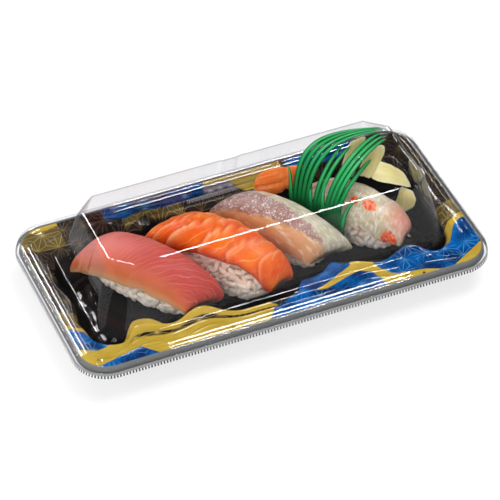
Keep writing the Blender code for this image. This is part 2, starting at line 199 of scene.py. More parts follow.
# ---------------------------------------------------------------- materials
class Look:
    """A material's nodes, built from short calls.  Numbers and sockets can be mixed freely."""

    def __init__(self, name):
        self.material = bpy.data.materials.new(name)
        self.material.use_nodes = True
        self.tree = self.material.node_tree
        self.tree.nodes.clear()
        self.output = self.tree.nodes.new("ShaderNodeOutputMaterial")

    def set(self, socket, value):
        if isinstance(value, bpy.types.NodeSocket):
            self.tree.links.new(value, socket)
        elif value is not None:
            if socket.type == "RGBA" and len(value) == 3:
                value = (*value, 1.0)
            socket.default_value = value

    def node(self, kind, inputs=(), **settings):
        node = self.tree.nodes.new(kind)
        for key, value in settings.items():
            setattr(node, key, value)
        for key, value in dict(inputs).items():
            self.set(node.inputs[key], value)
        return node

    def math(self, operation, *args):
        node = self.node("ShaderNodeMath", operation=operation)
        for i, value in enumerate(args):
            self.set(node.inputs[i], value)
        return node.outputs[0]

    def total(self, *args):
        out = args[0]
        for value in args[1:]:
            out = self.math("ADD", out, value)
        return out

    def times(self, a, b):
        return self.math("MULTIPLY", a, b)

    def step(self, value, low, high, out_low=0.0, out_high=1.0):
        """Smooth step of a value from low to high."""
        node = self.node("ShaderNodeMapRange", {"Value": value, "From Min": low, "From Max": high,
                                                "To Min": out_low, "To Max": out_high},
                         interpolation_type="SMOOTHSTEP")
        return node.outputs[0]

    def attribute(self, name):
        return self.node("ShaderNodeAttribute", attribute_name=name).outputs["Fac"]

    def place(self):
        """Position in millimetres."""
        node = self.node("ShaderNodeTexCoord")
        scale = self.node("ShaderNodeVectorMath", operation="SCALE")
        self.set(scale.inputs[0], node.outputs["Object"])
        self.set(scale.inputs["Scale"], 1.0 / MM)
        return scale.outputs[0]

    def split(self, vector):
        node = self.node("ShaderNodeSeparateXYZ", {"Vector": vector})
        return node.outputs[0], node.outputs[1], node.outputs[2]

    def join(self, x, y, z=0.0):
        return self.node("ShaderNodeCombineXYZ", {"X": x, "Y": y, "Z": z}).outputs[0]

    def noise(self, vector, scale, detail=2.0, roughness=0.5, distortion=0.0):
        node = self.node("ShaderNodeTexNoise", {"Vector": vector, "Scale": scale, "Detail": detail,
                                                "Roughness": roughness, "Distortion": distortion})
        return node.outputs["Fac"]

    def cells(self, vector, scale, feature="F1"):
        node = self.node("ShaderNodeTexVoronoi", {"Vector": vector, "Scale": scale},
                         feature=feature)
        return node.outputs["Distance"]

    def colour(self, factor, a, b, blend_type="MIX"):
        """Mix colour a to colour b by a factor."""
        node = self.node("ShaderNodeMix", data_type="RGBA", blend_type=blend_type)
        self.set(node.inputs[0], factor)
        self.set(node.inputs[6], a)
        self.set(node.inputs[7], b)
        return node.outputs[2]

    def bump(self, height, distance, normal=None):
        """Relief from a height between 0 and 1, distance in millimetres."""
        node = self.node("ShaderNodeBump", {"Height": height, "Distance": distance * MM,
                                            "Normal": normal})
        return node.outputs[0]

    def finish(self, **inputs):
        shader = self.node("ShaderNodeBsdfPrincipled",
                           {key.replace("_", " "): value for key, value in inputs.items()})
        self.set(self.output.inputs["Surface"], shader.outputs[0])
        return self.material


def hemp_leaf(look, x, y, side, width):
    """Lines of the hemp-leaf pattern: a lattice of triangles, each cut in three at its middle."""
    height = side * math.sqrt(3) / 2
    parts = []
    for turn in range(3):
        angle = math.radians(90 + 120 * turn)
        u = look.total(look.times(x, math.cos(angle) / height),
                       look.times(y, math.sin(angle) / height))
        parts.append(look.math("FRACT", u))
    downward = look.math("GREATER_THAN", look.total(*parts), 1.5)
    share = [look.math("ABSOLUTE", look.math("SUBTRACT", downward, part)) for part in parts]
    least = look.math("MINIMUM", look.math("MINIMUM", share[0], share[1]), share[2])
    most = look.math("MAXIMUM", look.math("MAXIMUM", share[0], share[1]), share[2])
    middle = look.math("SUBTRACT", look.math("SUBTRACT", 1.0, least), most)
    edge = look.times(least, height)
    spoke = look.times(look.math("SUBTRACT", middle, least), height / math.sqrt(3))
    return look.step(look.math("MINIMUM", edge, spoke), width, width * 0.3)


def print_look():
    """The tray's printed face: fields of gold and blue on near-black, with hemp-leaf lines."""
    look = Look("printed_face")
    place = look.place()
    x, y, z = look.split(place)
    lines = hemp_leaf(look, x, y, 11.0, 0.2)
    fine = hemp_leaf(look, look.total(x, 3.0), look.total(y, 1.5), 5.5, 0.2)
    patchy = look.noise(place, 0.12, 3.0)
    gold = look.step(look.attribute("gold"), -0.12, 0.12)
    blue = look.step(look.attribute("blue"), -0.12, 0.12)
    ribbon = look.step(look.attribute("ribbon"), -0.15, 0.15)
    olive = look.step(look.attribute("olive"), -0.4, 0.4)
    silver = look.step(look.attribute("silver"), -0.15, 0.15)
    wall = look.step(z, 13.5, 10.5)

    dark = look.colour(look.times(patchy, 0.7), linear("231f20"), linear("3a3331"))
    dark = look.colour(look.times(lines, 0.55), dark, linear("8d7746"))
    earth = look.colour(patchy, linear("4b4028"), linear("75653d"))
    earth = look.colour(look.times(lines, 0.85), earth, linear("b59c55"))
    dark = look.colour(olive, dark, earth)
    steel = look.colour(look.times(fine, 0.9), linear("6a6266"), linear("c3bdc4"))
    dark = look.colour(silver, dark, steel)
    yellow = look.colour(patchy, linear("a98a2a"), linear("d2b548"))
    base = look.colour(gold, dark, yellow)
    deep = look.colour(look.step(look.noise(place, 0.07, 3.0), 0.35, 0.65), linear("04295e"),
                       linear("0862ae"))
    faded = look.step(look.noise(place, 0.09, 2.0), 0.42, 0.6, 0.1, 0.7)
    deep = look.colour(look.times(lines, faded), deep, linear("6fb0e2"))
    base = look.colour(blue, base, deep)
    stripe = look.colour(lines, linear("1d191a"), linear("c9b06a"))
    base = look.colour(ribbon, base, stripe)
    base = look.colour(wall, base, linear("151213"))
    base = look.colour(look.attribute("lip"), base, linear("747574"))
    return look.finish(Base_Color=base, Roughness=0.4, Specular_IOR_Level=0.0,
                       Coat_Weight=0.35, Coat_Roughness=0.025, Coat_IOR=1.5)


def back_look():
    """The tray's unprinted face: plain dark sheet."""
    look = Look("unprinted_face")
    grain = look.noise(look.place(), 0.6, 3.0)
    base = look.colour(grain, linear("232021"), linear("2e2a2b"))
    return look.finish(Base_Color=base, Roughness=0.3, Specular_IOR_Level=0.2,
                       Normal=look.bump(grain, 0.02))


def clear_look():
    """Thin clear sheet: light passes straight through, and gloss grows towards the edges."""
    look = Look("clear_sheet")
    facing = look.node("ShaderNodeLayerWeight", {"Blend": 0.5}).outputs["Facing"]
    rise = look.math("POWER", facing, 5.0)
    gloss = look.total(0.013, look.times(rise, 0.35))
    tint = look.colour(look.step(facing, 0.42, 0.66), (0.967, 0.968, 0.972),
                       (0.848, 0.84, 0.848))
    through = look.node("ShaderNodeBsdfTransparent", {"Color": tint})
    shine = look.node("ShaderNodeBsdfGlossy", {"Color": (1.0, 1.0, 1.0), "Roughness": 0.025})
    both = look.node("ShaderNodeMixShader")
    look.set(both.inputs[0], gloss)
    look.set(both.inputs[1], through.outputs[0])
    look.set(both.inputs[2], shine.outputs[0])
    look.set(look.output.inputs["Surface"], both.outputs[0])
    return look.material


def ribbed_look():
    """The ribs scatter light, so the sheet is grey and cloudy; painted highlights light their crests,
    painted shade darkens their grooves.
    """
    look = Look("ribbed_sheet")
    # painted highlight on the rib crests and painted shade in the grooves
    crest = look.step(look.attribute("rib"), 0.2, 0.8)
    base = look.colour(crest, linear("202021"), linear("f6f6f8"))
    return look.finish(Base_Color=base, Roughness=0.25, Specular_IOR_Level=0.2, Alpha=0.8)


def tuna_look():
    look = Look("tuna_flesh")
    along, across, low = (look.attribute(key) for key in ("along", "across", "low"))
    flat = look.join(along, across)
    fan = look.math("ARCTAN2", look.total(across, 26.0), look.total(along, 15.0))
    warp = look.noise(flat, 0.16, 2.0)
    phase = look.total(look.times(fan, 15.0), look.times(warp, 1.6))
    wave = look.math("ABSOLUTE", look.math("SUBTRACT", look.math("FRACT", phase), 0.5))
    line = look.times(look.step(wave, 0.1, 0.0), look.step(low, 0.75, 0.3))
    fibre = look.noise(look.join(look.times(phase, 6.0), look.times(along, 0.05)), 1.0, 3.0)
    red = look.colour(look.step(along, 16.0, -24.0), linear("b83c32"), linear("d77a72"))
    # painted shade: a darker red down the slab's right side
    red = look.colour(look.step(across, 7.0, 17.0, 0.0, 0.8), red, linear("a82e24"))
    red = look.colour(look.step(across, -2.0, -12.0, 0.0, 0.6), red, linear("d86a48"))
    clouds = look.noise(flat, 0.09, 2.0)
    red = look.colour(look.step(clouds, 0.4, 0.7, 0.0, 0.45), red, linear("b03a36"))
    red = look.colour(look.times(line, look.step(clouds, 0.3, 0.6, 0.08, 0.26)), red,
                      linear("efb0a4"))
    red = look.colour(look.step(fibre, 0.45, 0.8, 0.0, 0.3), red, linear("dd8a80"))
    amber = look.colour(look.step(low, 0.7, 1.0), linear("cf6a3a"), linear("d8a06c"))
    edge = look.total(low, look.times(look.noise(flat, 0.15, 2.0), 0.25))
    base = look.colour(look.step(edge, 0.5, 1.0), red, amber)
    height = look.total(look.times(line, 0.5), look.times(fibre, 0.25),
                        look.times(look.noise(look.place(), 1.3, 3.0), 0.3))
    return look.finish(Base_Color=base, Roughness=0.42, Specular_IOR_Level=0.05, Subsurface_Weight=0.2,
                       Subsurface_Radius=(1.0, 0.35, 0.25), Subsurface_Scale=0.002,
                       Normal=look.bump(height, 0.3))


def salmon_look():
    look = Look("salmon_flesh")
    along, across, fold, dip = (look.attribute(key)
                                for key in ("along", "across", "fold", "dip"))
    flat = look.join(along, across)
    warp = look.noise(flat, 0.12, 2.0)
    bow = look.times(look.math("ABSOLUTE", look.total(across, look.times(warp, 6.0))), 0.13)
    phase = look.total(look.times(along, 0.19), bow, look.times(warp, 2.6))
    wave = look.math("ABSOLUTE", look.math("SUBTRACT", look.math("FRACT", phase), 0.5))
    fat = look.step(wave, 0.09, 0.0)
    clouds = look.noise(flat, 0.09, 3.0)
    base = look.colour(look.step(clouds, 0.3, 0.7), linear("de4c0a"), linear("ea7018"))
    base = look.colour(look.times(fat, look.step(clouds, 0.35, 0.65, 0.08, 0.5)), base,
                       linear("f6b280"))
    base = look.colour(look.times(fold, 0.75), base, linear("f9b47c"))
    # painted shade: a darker red in the creases behind the layers' edges
    base = look.colour(look.times(dip, 0.8), base, linear("c23a08"))
    # painted shade: deep red down the slab's low, left side
    shade = look.step(look.attribute("low"), 0.5, 1.0, 0.0, 0.85)
    base = look.colour(shade, base, linear("a81c04"))
    grain = look.noise(look.place(), 1.2, 3.0)
    height = look.total(look.times(fat, 0.5), look.times(grain, 0.5))
    return look.finish(Base_Color=base, Roughness=0.32, Specular_IOR_Level=0.08, Subsurface_Weight=0.12,
                       Subsurface_Radius=(1.0, 0.4, 0.2), Subsurface_Scale=0.002,
                       Normal=look.bump(height, 0.3))


def bream_look():
    look = Look("bream_flesh")
    along, across = look.attribute("along"), look.attribute("across")
    flat = look.join(along, across)
    clouds = look.noise(flat, 0.13, 3.0)
    ragged = look.times(look.math("SUBTRACT", look.noise(flat, 0.35, 3.0), 0.5), 4.0)
    offset = look.total(across, 2.9, ragged)
    half = look.math("MAXIMUM", look.total(look.times(along, -0.12), 3.6), 0.6)
    far = look.math("SUBTRACT", look.math("ABSOLUTE", offset), half)
    skin = look.times(look.step(far, 0.8, -0.8), look.step(along, 26.0, 20.0))
    net = look.step(look.cells(flat, 1.3), 0.15, 0.5)
    patch = look.step(look.noise(flat, 0.3, 3.0, 0.6), 0.42, 0.58)
    veins = look.step(look.noise(look.join(look.times(along, 0.12), look.times(across, 0.5)),
                                 1.0, 3.0), 0.5, 0.66)
    flesh = look.colour(clouds, linear("c28450"), linear("e2ac80"))
    flesh = look.colour(look.times(veins, 0.6), flesh, linear("ead6b8"))
    pale = look.colour(clouds, linear("aca27e"), linear("ccc5b1"))
    wisps = look.step(look.noise(look.join(look.times(along, 0.3), across), 0.8, 4.0), 0.45, 0.65)
    pale = look.colour(look.times(wisps, 0.6), pale, linear("e9e4d6"))
    base = look.colour(look.step(offset, -2.0, 2.5), flesh, pale)
    band = look.colour(patch, linear("f0e9e4"), linear("c39a92"))
    band = look.colour(look.times(net, 0.8), band, linear("80524f"))
    base = look.colour(look.times(skin, 0.92), base, band)
    rosy = look.times(look.step(look.noise(flat, 0.12, 2.0), 0.56, 0.68),
                      look.step(along, 0.0, -14.0, 0.1, 0.6))
    base = look.colour(rosy, base, linear("a8564c"))
    height = look.total(look.times(look.times(net, skin), 0.35), look.times(veins, 0.2),
                        look.times(look.noise(flat, 0.7, 4.0, 0.6), 0.6))
    return look.finish(Base_Color=base, Roughness=0.34, Specular_IOR_Level=0.18, Subsurface_Weight=0.25,
                       Subsurface_Radius=(1.0, 0.7, 0.5), Subsurface_Scale=0.002,
                       Normal=look.bump(height, 0.5))


def shrimp_look():
    look = Look("shrimp_flesh")
    along, across, mark = (look.attribute(key) for key in ("along", "across", "mark"))
    flat = look.join(along, across)
    fibre = look.noise(look.join(look.times(along, 0.4), across), 0.55, 4.0, 0.6)
    clouds = look.noise(flat, 0.1, 3.0)
    base = look.colour(look.step(fibre, 0.35, 0.7), linear("bdac8c"), linear("d8cdb8"))
    base = look.colour(look.step(clouds, 0.5, 0.7, 0.0, 0.5), base, linear("b8a674"))
    threads = look.noise(look.join(look.times(along, 0.9), look.times(across, 0.25)), 1.1, 4.0)
    base = look.colour(look.step(threads, 0.52, 0.66, 0.0, 0.7), base, linear("efe9dc"))
    rosy = look.times(look.step(along, 9.0, 20.0), look.step(across, -9.0, -1.0))
    base = look.colour(look.times(rosy, 0.7), base, linear("dc8272"))
    rings = look.math("FRACT", look.total(look.times(along, 0.19),
                                          look.times(look.noise(flat, 0.2), 1.2)))
    ring = look.step(look.math("ABSOLUTE", look.math("SUBTRACT", rings, 0.5)), 0.09, 0.0)
    back = look.step(along, -2.0, -10.0)
    base = look.colour(look.times(look.times(ring, back), 0.8), base, linear("da6a44"))
    blush = look.times(look.step(look.noise(flat, 0.2, 2.0), 0.5, 0.65), back)
    base = look.colour(look.times(blush, 0.5), base, linear("e9a78c"))
    spots = look.step(look.noise(look.place(), 0.6, 3.0), 0.4, 0.62)
    rough_mark = look.total(mark, look.times(look.noise(flat, 0.55, 3.0), 0.5))
    base = look.colour(look.step(rough_mark, 0.66, 0.82), base,
                       look.colour(spots, linear("dc3510"), linear("f28a58")))
    height = look.total(look.times(fibre, 0.35), look.times(look.noise(flat, 0.3, 3.0), 0.6))
    return look.finish(Base_Color=base, Roughness=0.32, Specular_IOR_Level=0.18, Subsurface_Weight=0.3,
                       Subsurface_Radius=(1.0, 0.6, 0.4), Subsurface_Scale=0.002,
                       Normal=look.bump(height, 0.4))


def tail_look():
    look = Look("tail_shell")
    along, across = look.attribute("along"), look.attribute("across")
    ribs = look.noise(look.join(look.times(along, 0.15), look.times(across, 1.0)), 1.0, 3.0)
    base = look.colour(ribs, linear("ee6422"), linear("ff9648"))
    pale = look.step(look.noise(look.place(), 0.25, 2.0), 0.5, 0.72, 0.0, 0.5)
    base = look.colour(pale, base, linear("f3a878"))
    crease = look.step(look.math("ABSOLUTE", across), 1.1, 0.1)
    crease = look.times(crease, look.step(along, 8.0, 13.0))
    base = look.colour(look.times(crease, 0.45), base, linear("a83a14"))
    return look.finish(Base_Color=base, Roughness=0.28, Specular_IOR_Level=0.2, Subsurface_Weight=0.1,
                       Subsurface_Radius=(1.0, 0.4, 0.2), Subsurface_Scale=0.0015,
                       Normal=look.bump(ribs, 0.3))


def rice_look():
    look = Look("cooked_rice")
    shade = look.noise(look.place(), 0.22, 2.0)
    fine = look.noise(look.place(), 1.5, 2.0)
    base = look.colour(shade, linear("e6d0b8"), linear("f6ece0"))
    base = look.colour(look.times(look.attribute("tone"), 0.8), base, linear("fbf7f0"))
    x, y, z = look.split(look.place())
    # painted bounce light and shade: a warm pink tint higher up the block, under the fish
    base = look.colour(look.step(z, 7.0, 18.0, 0.05, 0.6), base, linear("edbfa6"))
    return look.finish(Base_Color=base, Roughness=0.28, Specular_IOR_Level=0.15, Subsurface_Weight=0.2,
                       Subsurface_Radius=(1.0, 0.85, 0.7), Subsurface_Scale=0.001,
                       Normal=look.bump(fine, 0.12))


def leaf_look():
    look = Look("green_leaf_sheet")
    rise, across, blade, short = (look.attribute(key)
                                  for key in ("rise", "across", "blade", "short"))
    # painted shade: the blades darker low down among the food, the short front blades lighter
    base = look.colour(look.step(rise, 0.3, 0.6), linear("015a2d"), linear("079a46"))
    base = look.colour(look.times(short, look.step(rise, 0.2, 0.5)), base, linear("0f9c4d"))
    # painted highlight: a pale streak along the middle of each blade's upper part
    streak = look.times(look.step(look.math("ABSOLUTE", across), 0.55, 0.05),
                        look.step(rise, 0.3, 0.7))
    tone = look.noise(look.join(look.times(blade, 3.7), look.times(rise, 2.0)), 1.0, 1.0)
    base = look.colour(look.times(streak, look.step(tone, 0.3, 0.6, 0.2, 0.8)), base,
                       linear("5cb986"))
    # painted shade: near-black along the blades' edges, in the gaps between them
    rim = look.step(look.math("ABSOLUTE", across), 0.6, 0.92)
    base = look.colour(look.times(rim, 0.85), base, linear("012613"))
    return look.finish(Base_Color=base, Roughness=0.3, Specular_IOR_Level=0.15)


def ginger_look():
    look = Look("pickled_ginger")
    along, across = look.attribute("along"), look.attribute("across")
    fibre = look.noise(look.join(look.times(along, 0.15), across), 1.3, 4.0, 0.6)
    base = look.colour(fibre, linear("d9c76e"), linear("ece3b2"))
    edge = look.step(look.attribute("edge"), 0.7, 1.0)
    base = look.colour(look.times(edge, 0.5), base, linear("f3edc9"))
    return look.finish(Base_Color=base, Roughness=0.3, Specular_IOR_Level=0.2, Subsurface_Weight=0.35,
                       Subsurface_Radius=(1.0, 0.9, 0.5), Subsurface_Scale=0.002,
                       Normal=look.bump(fibre, 0.2))


# ---------------------------------------------------------------- rings in plan
class Ring:
    """A rounded rectangle in plan, walked anticlockwise from the front left.

    Every ring has the same number of points, so any two can be joined.  cut=(x, y) replaces
    the round corners by straight cuts.
    """

    def __init__(self, half, radius, cut=None):
        self.half = half
        self.radius = cut if cut else (radius, radius)
        self.straight_cut = cut is not None

    def points(self, n_long, n_short, n_corner):
        hx, hy = self.half
        rx, ry = self.radius
        sides = (
            ((-hx + rx, -hy), (hx - rx, -hy), n_long),
            ((hx, -hy + ry), (hx, hy - ry), n_short),
            ((hx - rx, hy), (-hx + rx, hy), n_long),
            ((-hx, hy - ry), (-hx, -hy + ry), n_short),
        )
        out = []
        for side, (start, end, steps) in enumerate(sides):
            for i in range(steps):
                t = i / steps
                out.append((mix(start[0], end[0], t), mix(start[1], end[1], t), side))
            following = sides[(side + 1) % 4][0]
            for i in range(n_corner):
                out.append((*self.corner(side, end, following, i / n_corner), side))
        return out

    def corner(self, side, start, end, t):
        if self.straight_cut:
            return mix(start[0], end[0], t), mix(start[1], end[1], t)
        rx, ry = self.radius
        angle = math.radians(-90 + 90 * side + 90 * t)
        centre = ((self.half[0] - rx) * (1 if side in (0, 1) else -1),
                  (self.half[1] - ry) * (1 if side in (1, 2) else -1))
        return centre[0] + rx * math.cos(angle), centre[1] + ry * math.sin(angle)


def inset(distance):
    """The lid's outline moved in by a distance."""
    return Ring((LENGTH / 2 - distance, WIDTH / 2 - distance), max(CORNER_R - distance, 4.0))


# ---------------------------------------------------------------- tray
def wave(along, crest):
    return math.cos(2 * math.pi * (along - crest) / WAVE_PITCH)


def front_edge(x):
    ax = abs(x)
    edge = mix(39.4, 31.5 + 2.8 * wave(ax, 56.0), blend(20.0, 38.0, ax))
    return mix(edge, INNER_HALF[1], blend(*WAVES_END, ax))


def back_edge(x):
    ax = abs(x)
    edge = mix(39.8, 43.0 + 3.4 * wave(ax, 65.0), blend(24.0, 44.0, ax))
    return mix(edge, INNER_HALF[1], blend(*WAVES_END, ax))


def end_edge(y):
    return INNER_HALF[0] - 1.4 * wave(y, 0.0) * blend(24.0, 14.0, abs(y))


def shelf(x):
    return sum(depth * blend(half + 4.0, half - 4.0, abs(x - middle))
               for middle, half, depth in SHELVES)


def wavy(point, reach, on_shelf=0.0):
    """A point of the inner edge, moved on to the waves and in by reach down the wall."""
    x, y, side = point
    if side == 0:
        y += INNER_HALF[1] - front_edge(x) + on_shelf * shelf(x)
    elif side == 2:
        y -= INNER_HALF[1] - back_edge(x)
    else:
        x = math.copysign(abs(x) - INNER_HALF[0] + end_edge(y), x)
    return x * (1.0 - reach / INNER_HALF[0]), y * (1.0 - reach / INNER_HALF[1]), side


def polygon_depth(x, y, corners):
    """Distance inside (positive) or outside (negative) a polygon, for arrays of points."""
    ends = list(zip(corners, corners[1:] + corners[:1]))
    nearest = np.full(x.shape, 1e9)
    inside = np.zeros(x.shape, bool)
    for (x0, y0), (x1, y1) in ends:
        dx, dy = x1 - x0, y1 - y0
        t = np.clip(((x - x0) * dx + (y - y0) * dy) / (dx * dx + dy * dy), 0.0, 1.0)
        nearest = np.minimum(nearest, np.hypot(x - x0 - t * dx, y - y0 - t * dy))
        if dy:
            crosses = ((y0 > y) != (y1 > y)) & (x < x0 + (y - y0) * dx / dy)
            inside ^= crosses
    return np.where(inside, nearest, -nearest)


# Fields of the print in plan.  They run on past the tray's outer edge.
GOLD_FIELDS = (
    [(-114, -19.5), (-104, -18.8), (-97, -21), (-91, -29), (-86, -33), (-78, -26), (-70, -22),
     (-45, -22), (-22, -27), (-10, -36), (-4, -44), (-16, -60), (-114, -60)],
    [(17, -41), (32, -34.5), (38, -26), (54, -26), (58, -34), (112, -30), (112, -60), (48, -60),
     (46, -46)],
    [(84, -38), (89, -30), (94, -23.5), (99, -20.2), (105, -18.8), (114, -19), (114, -30),
     (100, -38)],
    [(-99, 50.5), (-92, 49.8), (-84, 51), (-83, 60), (-100, 60)],
    [(-5, 50.2), (8, 50.2), (11, 44), (14, 41), (30, 40), (37, 45), (38, 60), (-4, 60)],
)
BLUE_FIELDS = (
    [(-114, -24), (-104, -21.2), (-98.5, -23.5), (-94.5, -30), (-90, -37), (-97, -39),
     (-104, -37), (-114, -34)],
    [(-104, -51.5), (-90, -48.6), (-77, -46), (-66, -58), (-106, -58)],
    [(-17, -60), (-7, -45), (3, -41), (8, -35), (8, -18), (41, -18), (40, -31), (32, -34.5),
     (17, -41), (21, -42.5), (34, -38.5), (42, -36.5), (47, -40), (49, -47), (50, -60)],
    [(52, -38), (50, -30), (60, -20), (84, -20), (88, -33), (93, -34), (96.5, -29), (99.5, -24.5),
     (104, -22.5), (114, -25), (114, -38), (100, -45.5), (85, -54), (79, -53), (72, -50),
     (61, -48.3), (55, -45)],
    [(-60, 46.5), (-50, 44.5), (-40, 47.5), (-31, 45), (-26, 44.8), (-6, 45.2), (-5, 60),
     (-61, 60)],
    [(40, 47), (52, 44.5), (66, 46), (78, 46), (82, 60), (40, 60)],
)
OLIVE_FIELDS = (
    [(-114, -9), (-88, -9), (-88, -17), (-114, -19)],
    [(-114, 38), (-84, 38), (-84, 60), (-114, 60)],
    [(90, -19), (93, -11.5), (98, -8.5), (114, -8.5), (114, -19)],
    [(-52, 38), (-40, 44), (-30, 40), (-20, 38), (-20, 46), (-52, 46)],
    [(-84, -30), (-78, -20), (-58, -20), (-58, -27), (-70, -27)],
)
SILVER_FIELD = [(-17, 42.8), (11, 42.8), (9.5, 49.6), (-15, 49.6)]
FLECKS = ((-56.0, -50.5), (-44.0, -54.0), (-31.5, -51.0), (-26.5, -52.8), (-24.5, -52.2),
          (-84.0, -49.0), (62.0, -50.0), (51.0, -53.5), (-99.0, -46.5), (70.0, -52.2))
FLECK = 0.8                      # half a fleck's side


# terraces of the flange: share of the way in, drop, and how far the front waves push them
TERRACES = ((0.30, 0.8, -1.3), (0.56, 0.8, 0.5))
SHARES = (0.0, 0.08, 0.16, 0.21, 0.235, 0.255, 0.27, 0.285, 0.3, 0.315, 0.33, 0.35, 0.40, 0.45,
          0.475, 0.495, 0.515, 0.53, 0.545, 0.56, 0.575, 0.59, 0.61, 0.66, 0.72, 0.78, 0.84,
          0.89, 0.93, 0.95, 0.965, 0.98, 1.0)


def tray_rows(counts):
    """Rows of plan points with heights and, on the flange, their share of the way inwards."""
    lip = 2.1
    rows = []
    profile = [(lip + 0.05, 14.7), (lip + 0.2, 15.4), (lip + 0.3, 16.4), (lip + 0.45, 17.2),
               (lip + 0.8, 17.9), (lip + 1.3, 18.25), (lip + 1.9, 18.35)]
    for distance, z in profile:
        rows.append([(x, y, z, 0.0) for x, y, _ in inset(distance).points(*counts)])

    outer = inset(lip + 2.4).points(*counts)
    inner = [wavy(p, 0.0) for p in Ring(INNER_HALF, INNER_R).points(*counts)]
    for share in SHARES:
        base_z = 18.35 + 0.35 * hill(share, 0.965, 0.025) - 0.9 * max(share - 0.55, 0.0) / 0.45
        stepped = sum(0.3 * hill(share, at - 0.045, 0.02) - drop * blend(at - 0.03, at + 0.03, share)
                      for at, drop, _ in TERRACES)
        sloped = -sum(drop * blend(at - 0.2, at + 0.2, share) for at, drop, _ in TERRACES)
        row = []
        for (x0, y0, side), (x1, y1, _) in zip(outer, inner):
            x, y = mix(x0, x1, share), mix(y0, y1, share)
            if side == 0:
                swing = wave(abs(x), 56.0) * blend(22.0, 42.0, abs(x)) * blend(84.0, 74.0, abs(x))
                y += swing * sum(push * hill(share, at, 0.13) for at, _, push in TERRACES)
            z = base_z + mix(stepped, sloped, blend(90.0, 100.0, abs(x)))
            row.append((x, y, z, share))
        rows.append(row)

    base = Ring(INNER_HALF, INNER_R).points(*counts)
    edge_z = rows[-1][0][2]
    table = ((0.0, edge_z, 0.0), (1.6, 13.4, 1.0), (5.2, 5.0, 0.75), (8.3, 1.6, 0.56),
             (8.9, 0.5, 0.55), (10.6, 0.45, 0.5), (11.6, FLOOR_TOP, 0.5))
    steps = 6
    for (r0, z0, s0), (r1, z1, s1) in zip(table, table[1:]):
        for i in range(1, steps + 1):
            t = i / steps
            reach, z, slope = mix(r0, r1, t), mix(z0, z1, t), mix(s0, s1, t)
            rows.append([(*wavy(p, reach, slope)[:2], z, 1.0) for p in base])
    last = rows[-1]
    for shrink in (0.93, 0.82, 0.66, 0.48, 0.3, 0.12):
        rows.append([(x * shrink, y * shrink, z, 1.0) for x, y, z, _ in last])
    return rows


def make_tray():
    counts = (190, 66, 22)
    rows = tray_rows(counts)
    flat = np.array([[(x, y) for x, y, _, _ in row] for row in rows])
    x, y = flat[..., 0], flat[..., 1]
    share = np.array([[s for *_, s in row] for row in rows])

    def field(polygons):
        return np.max([polygon_depth(x, y, p) for p in polygons], axis=0)

    gold = field(GOLD_FIELDS)
    for fx, fy in FLECKS:
        gold = np.minimum(gold, np.maximum(np.abs(x - fx), np.abs(y - fy)) - FLECK)
    front = (y < 0) & (np.abs(x) < 90)
    reach = np.clip(1.0 - np.abs((x + 42.0) / 40.0) ** 4, 0.0, 1.0)
    ribbon = np.where(front & (reach > 0), 1.6 * reach - np.abs(share - 0.66) * 20.0, -2.0)
    lip = np.where(np.arange(len(rows)) < 6, 1.0, 0.0)[:, None] + np.zeros_like(x)
    fields = {"gold": gold, "blue": field(BLUE_FIELDS), "olive": field(OLIVE_FIELDS),
              "silver": polygon_depth(x, y, SILVER_FIELD), "ribbon": ribbon, "lip": lip}
    shape = Shape()
    ids = []
    for r, row in enumerate(rows):
        ids.append([shape.add(p[:3], **{k: float(v[r, c]) for k, v in fields.items()})
                    for c, p in enumerate(row)])
    shape.loft(ids)
    shape.cap(ids[-1])
    tray = shape.make("tray_sheet", print_look(), back_look())
    thicken(tray, 0.45, -1.0, 1)
    return settle(tray, "printed_tray", "tray")


# ---------------------------------------------------------------- lid
def fillet(corner, before, after, radius, steps):
    """Points of an arc that rounds a corner of a profile."""
    corner, before, after = Vector(corner), Vector(before), Vector(after)
    a = (before - corner).normalized()
    b = (after - corner).normalized()
    half = a.angle(b) / 2
    centre = corner + (a + b).normalized() * radius / math.sin(half)
    start = corner + a * radius / math.tan(half) - centre
    end = corner + b * radius / math.tan(half) - centre
    out = []
    for i in range(steps + 1):
        out.append(centre + turn(start, end, i / steps))
    return out


def turn(start, end, t):
    """A vector turned from start towards end, keeping its length."""
    angle = start.angle(end)
    if angle < 1e-6:
        return start
    k0, k1 = math.sin((1 - t) * angle) / math.sin(angle), math.sin(t * angle) / math.sin(angle)
    return start * k0 + end * k1


RIDGES = (2.4, 4.9, 7.4)          # insets of the rim's three ridges
RIDGE_R, RIDGE_HALF = 2.6, 1.25   # radius and half width of a ridge's round back
GROOVE = (4.5, 0.22)              # half width and depth of the dome's cross bands


def band(distance):
    """1 on a cross band of the dome, 0 off it."""
    half, _ = GROOVE
    return blend(half + 0.8, half - 0.8, abs(distance))


def ridge(distance):
    """Height of the rim's ridges at an inset."""
    far = min(abs(distance - middle) for middle in RIDGES)
    if far > RIDGE_HALF:
        return 0.0
    return math.sqrt(RIDGE_R ** 2 - far ** 2) - math.sqrt(RIDGE_R ** 2 - RIDGE_HALF ** 2)


def dome_profile():
    """Along the wall: inset from the ceiling's edge (negative outwards) and height."""
    run = FOOT_HALF[0] - 0.6 - (CEILING_HALF[0] + 0.4)
    foot = (-run, RIM_TOP + 1.0)
    top = (0.0, HEIGHT)
    rim = (-run - 3.0, RIM_TOP - 0.5)
    points = [(-run - 2.4, RIM_TOP - 0.45)]
    points += [tuple(p) for p in fillet((-run, RIM_TOP - 0.4), rim, (0.0, HEIGHT), 1.3, 6)]
    steps = 10
    low, high = points[-1], (-1.2, HEIGHT - 4.0)
    points += [(mix(low[0], high[0], i / steps), mix(low[1], high[1], i / steps))
               for i in range(1, steps)]
    points += [tuple(p) for p in fillet(top, foot, (5.0, HEIGHT), 3.8, 18)]
    return points, run


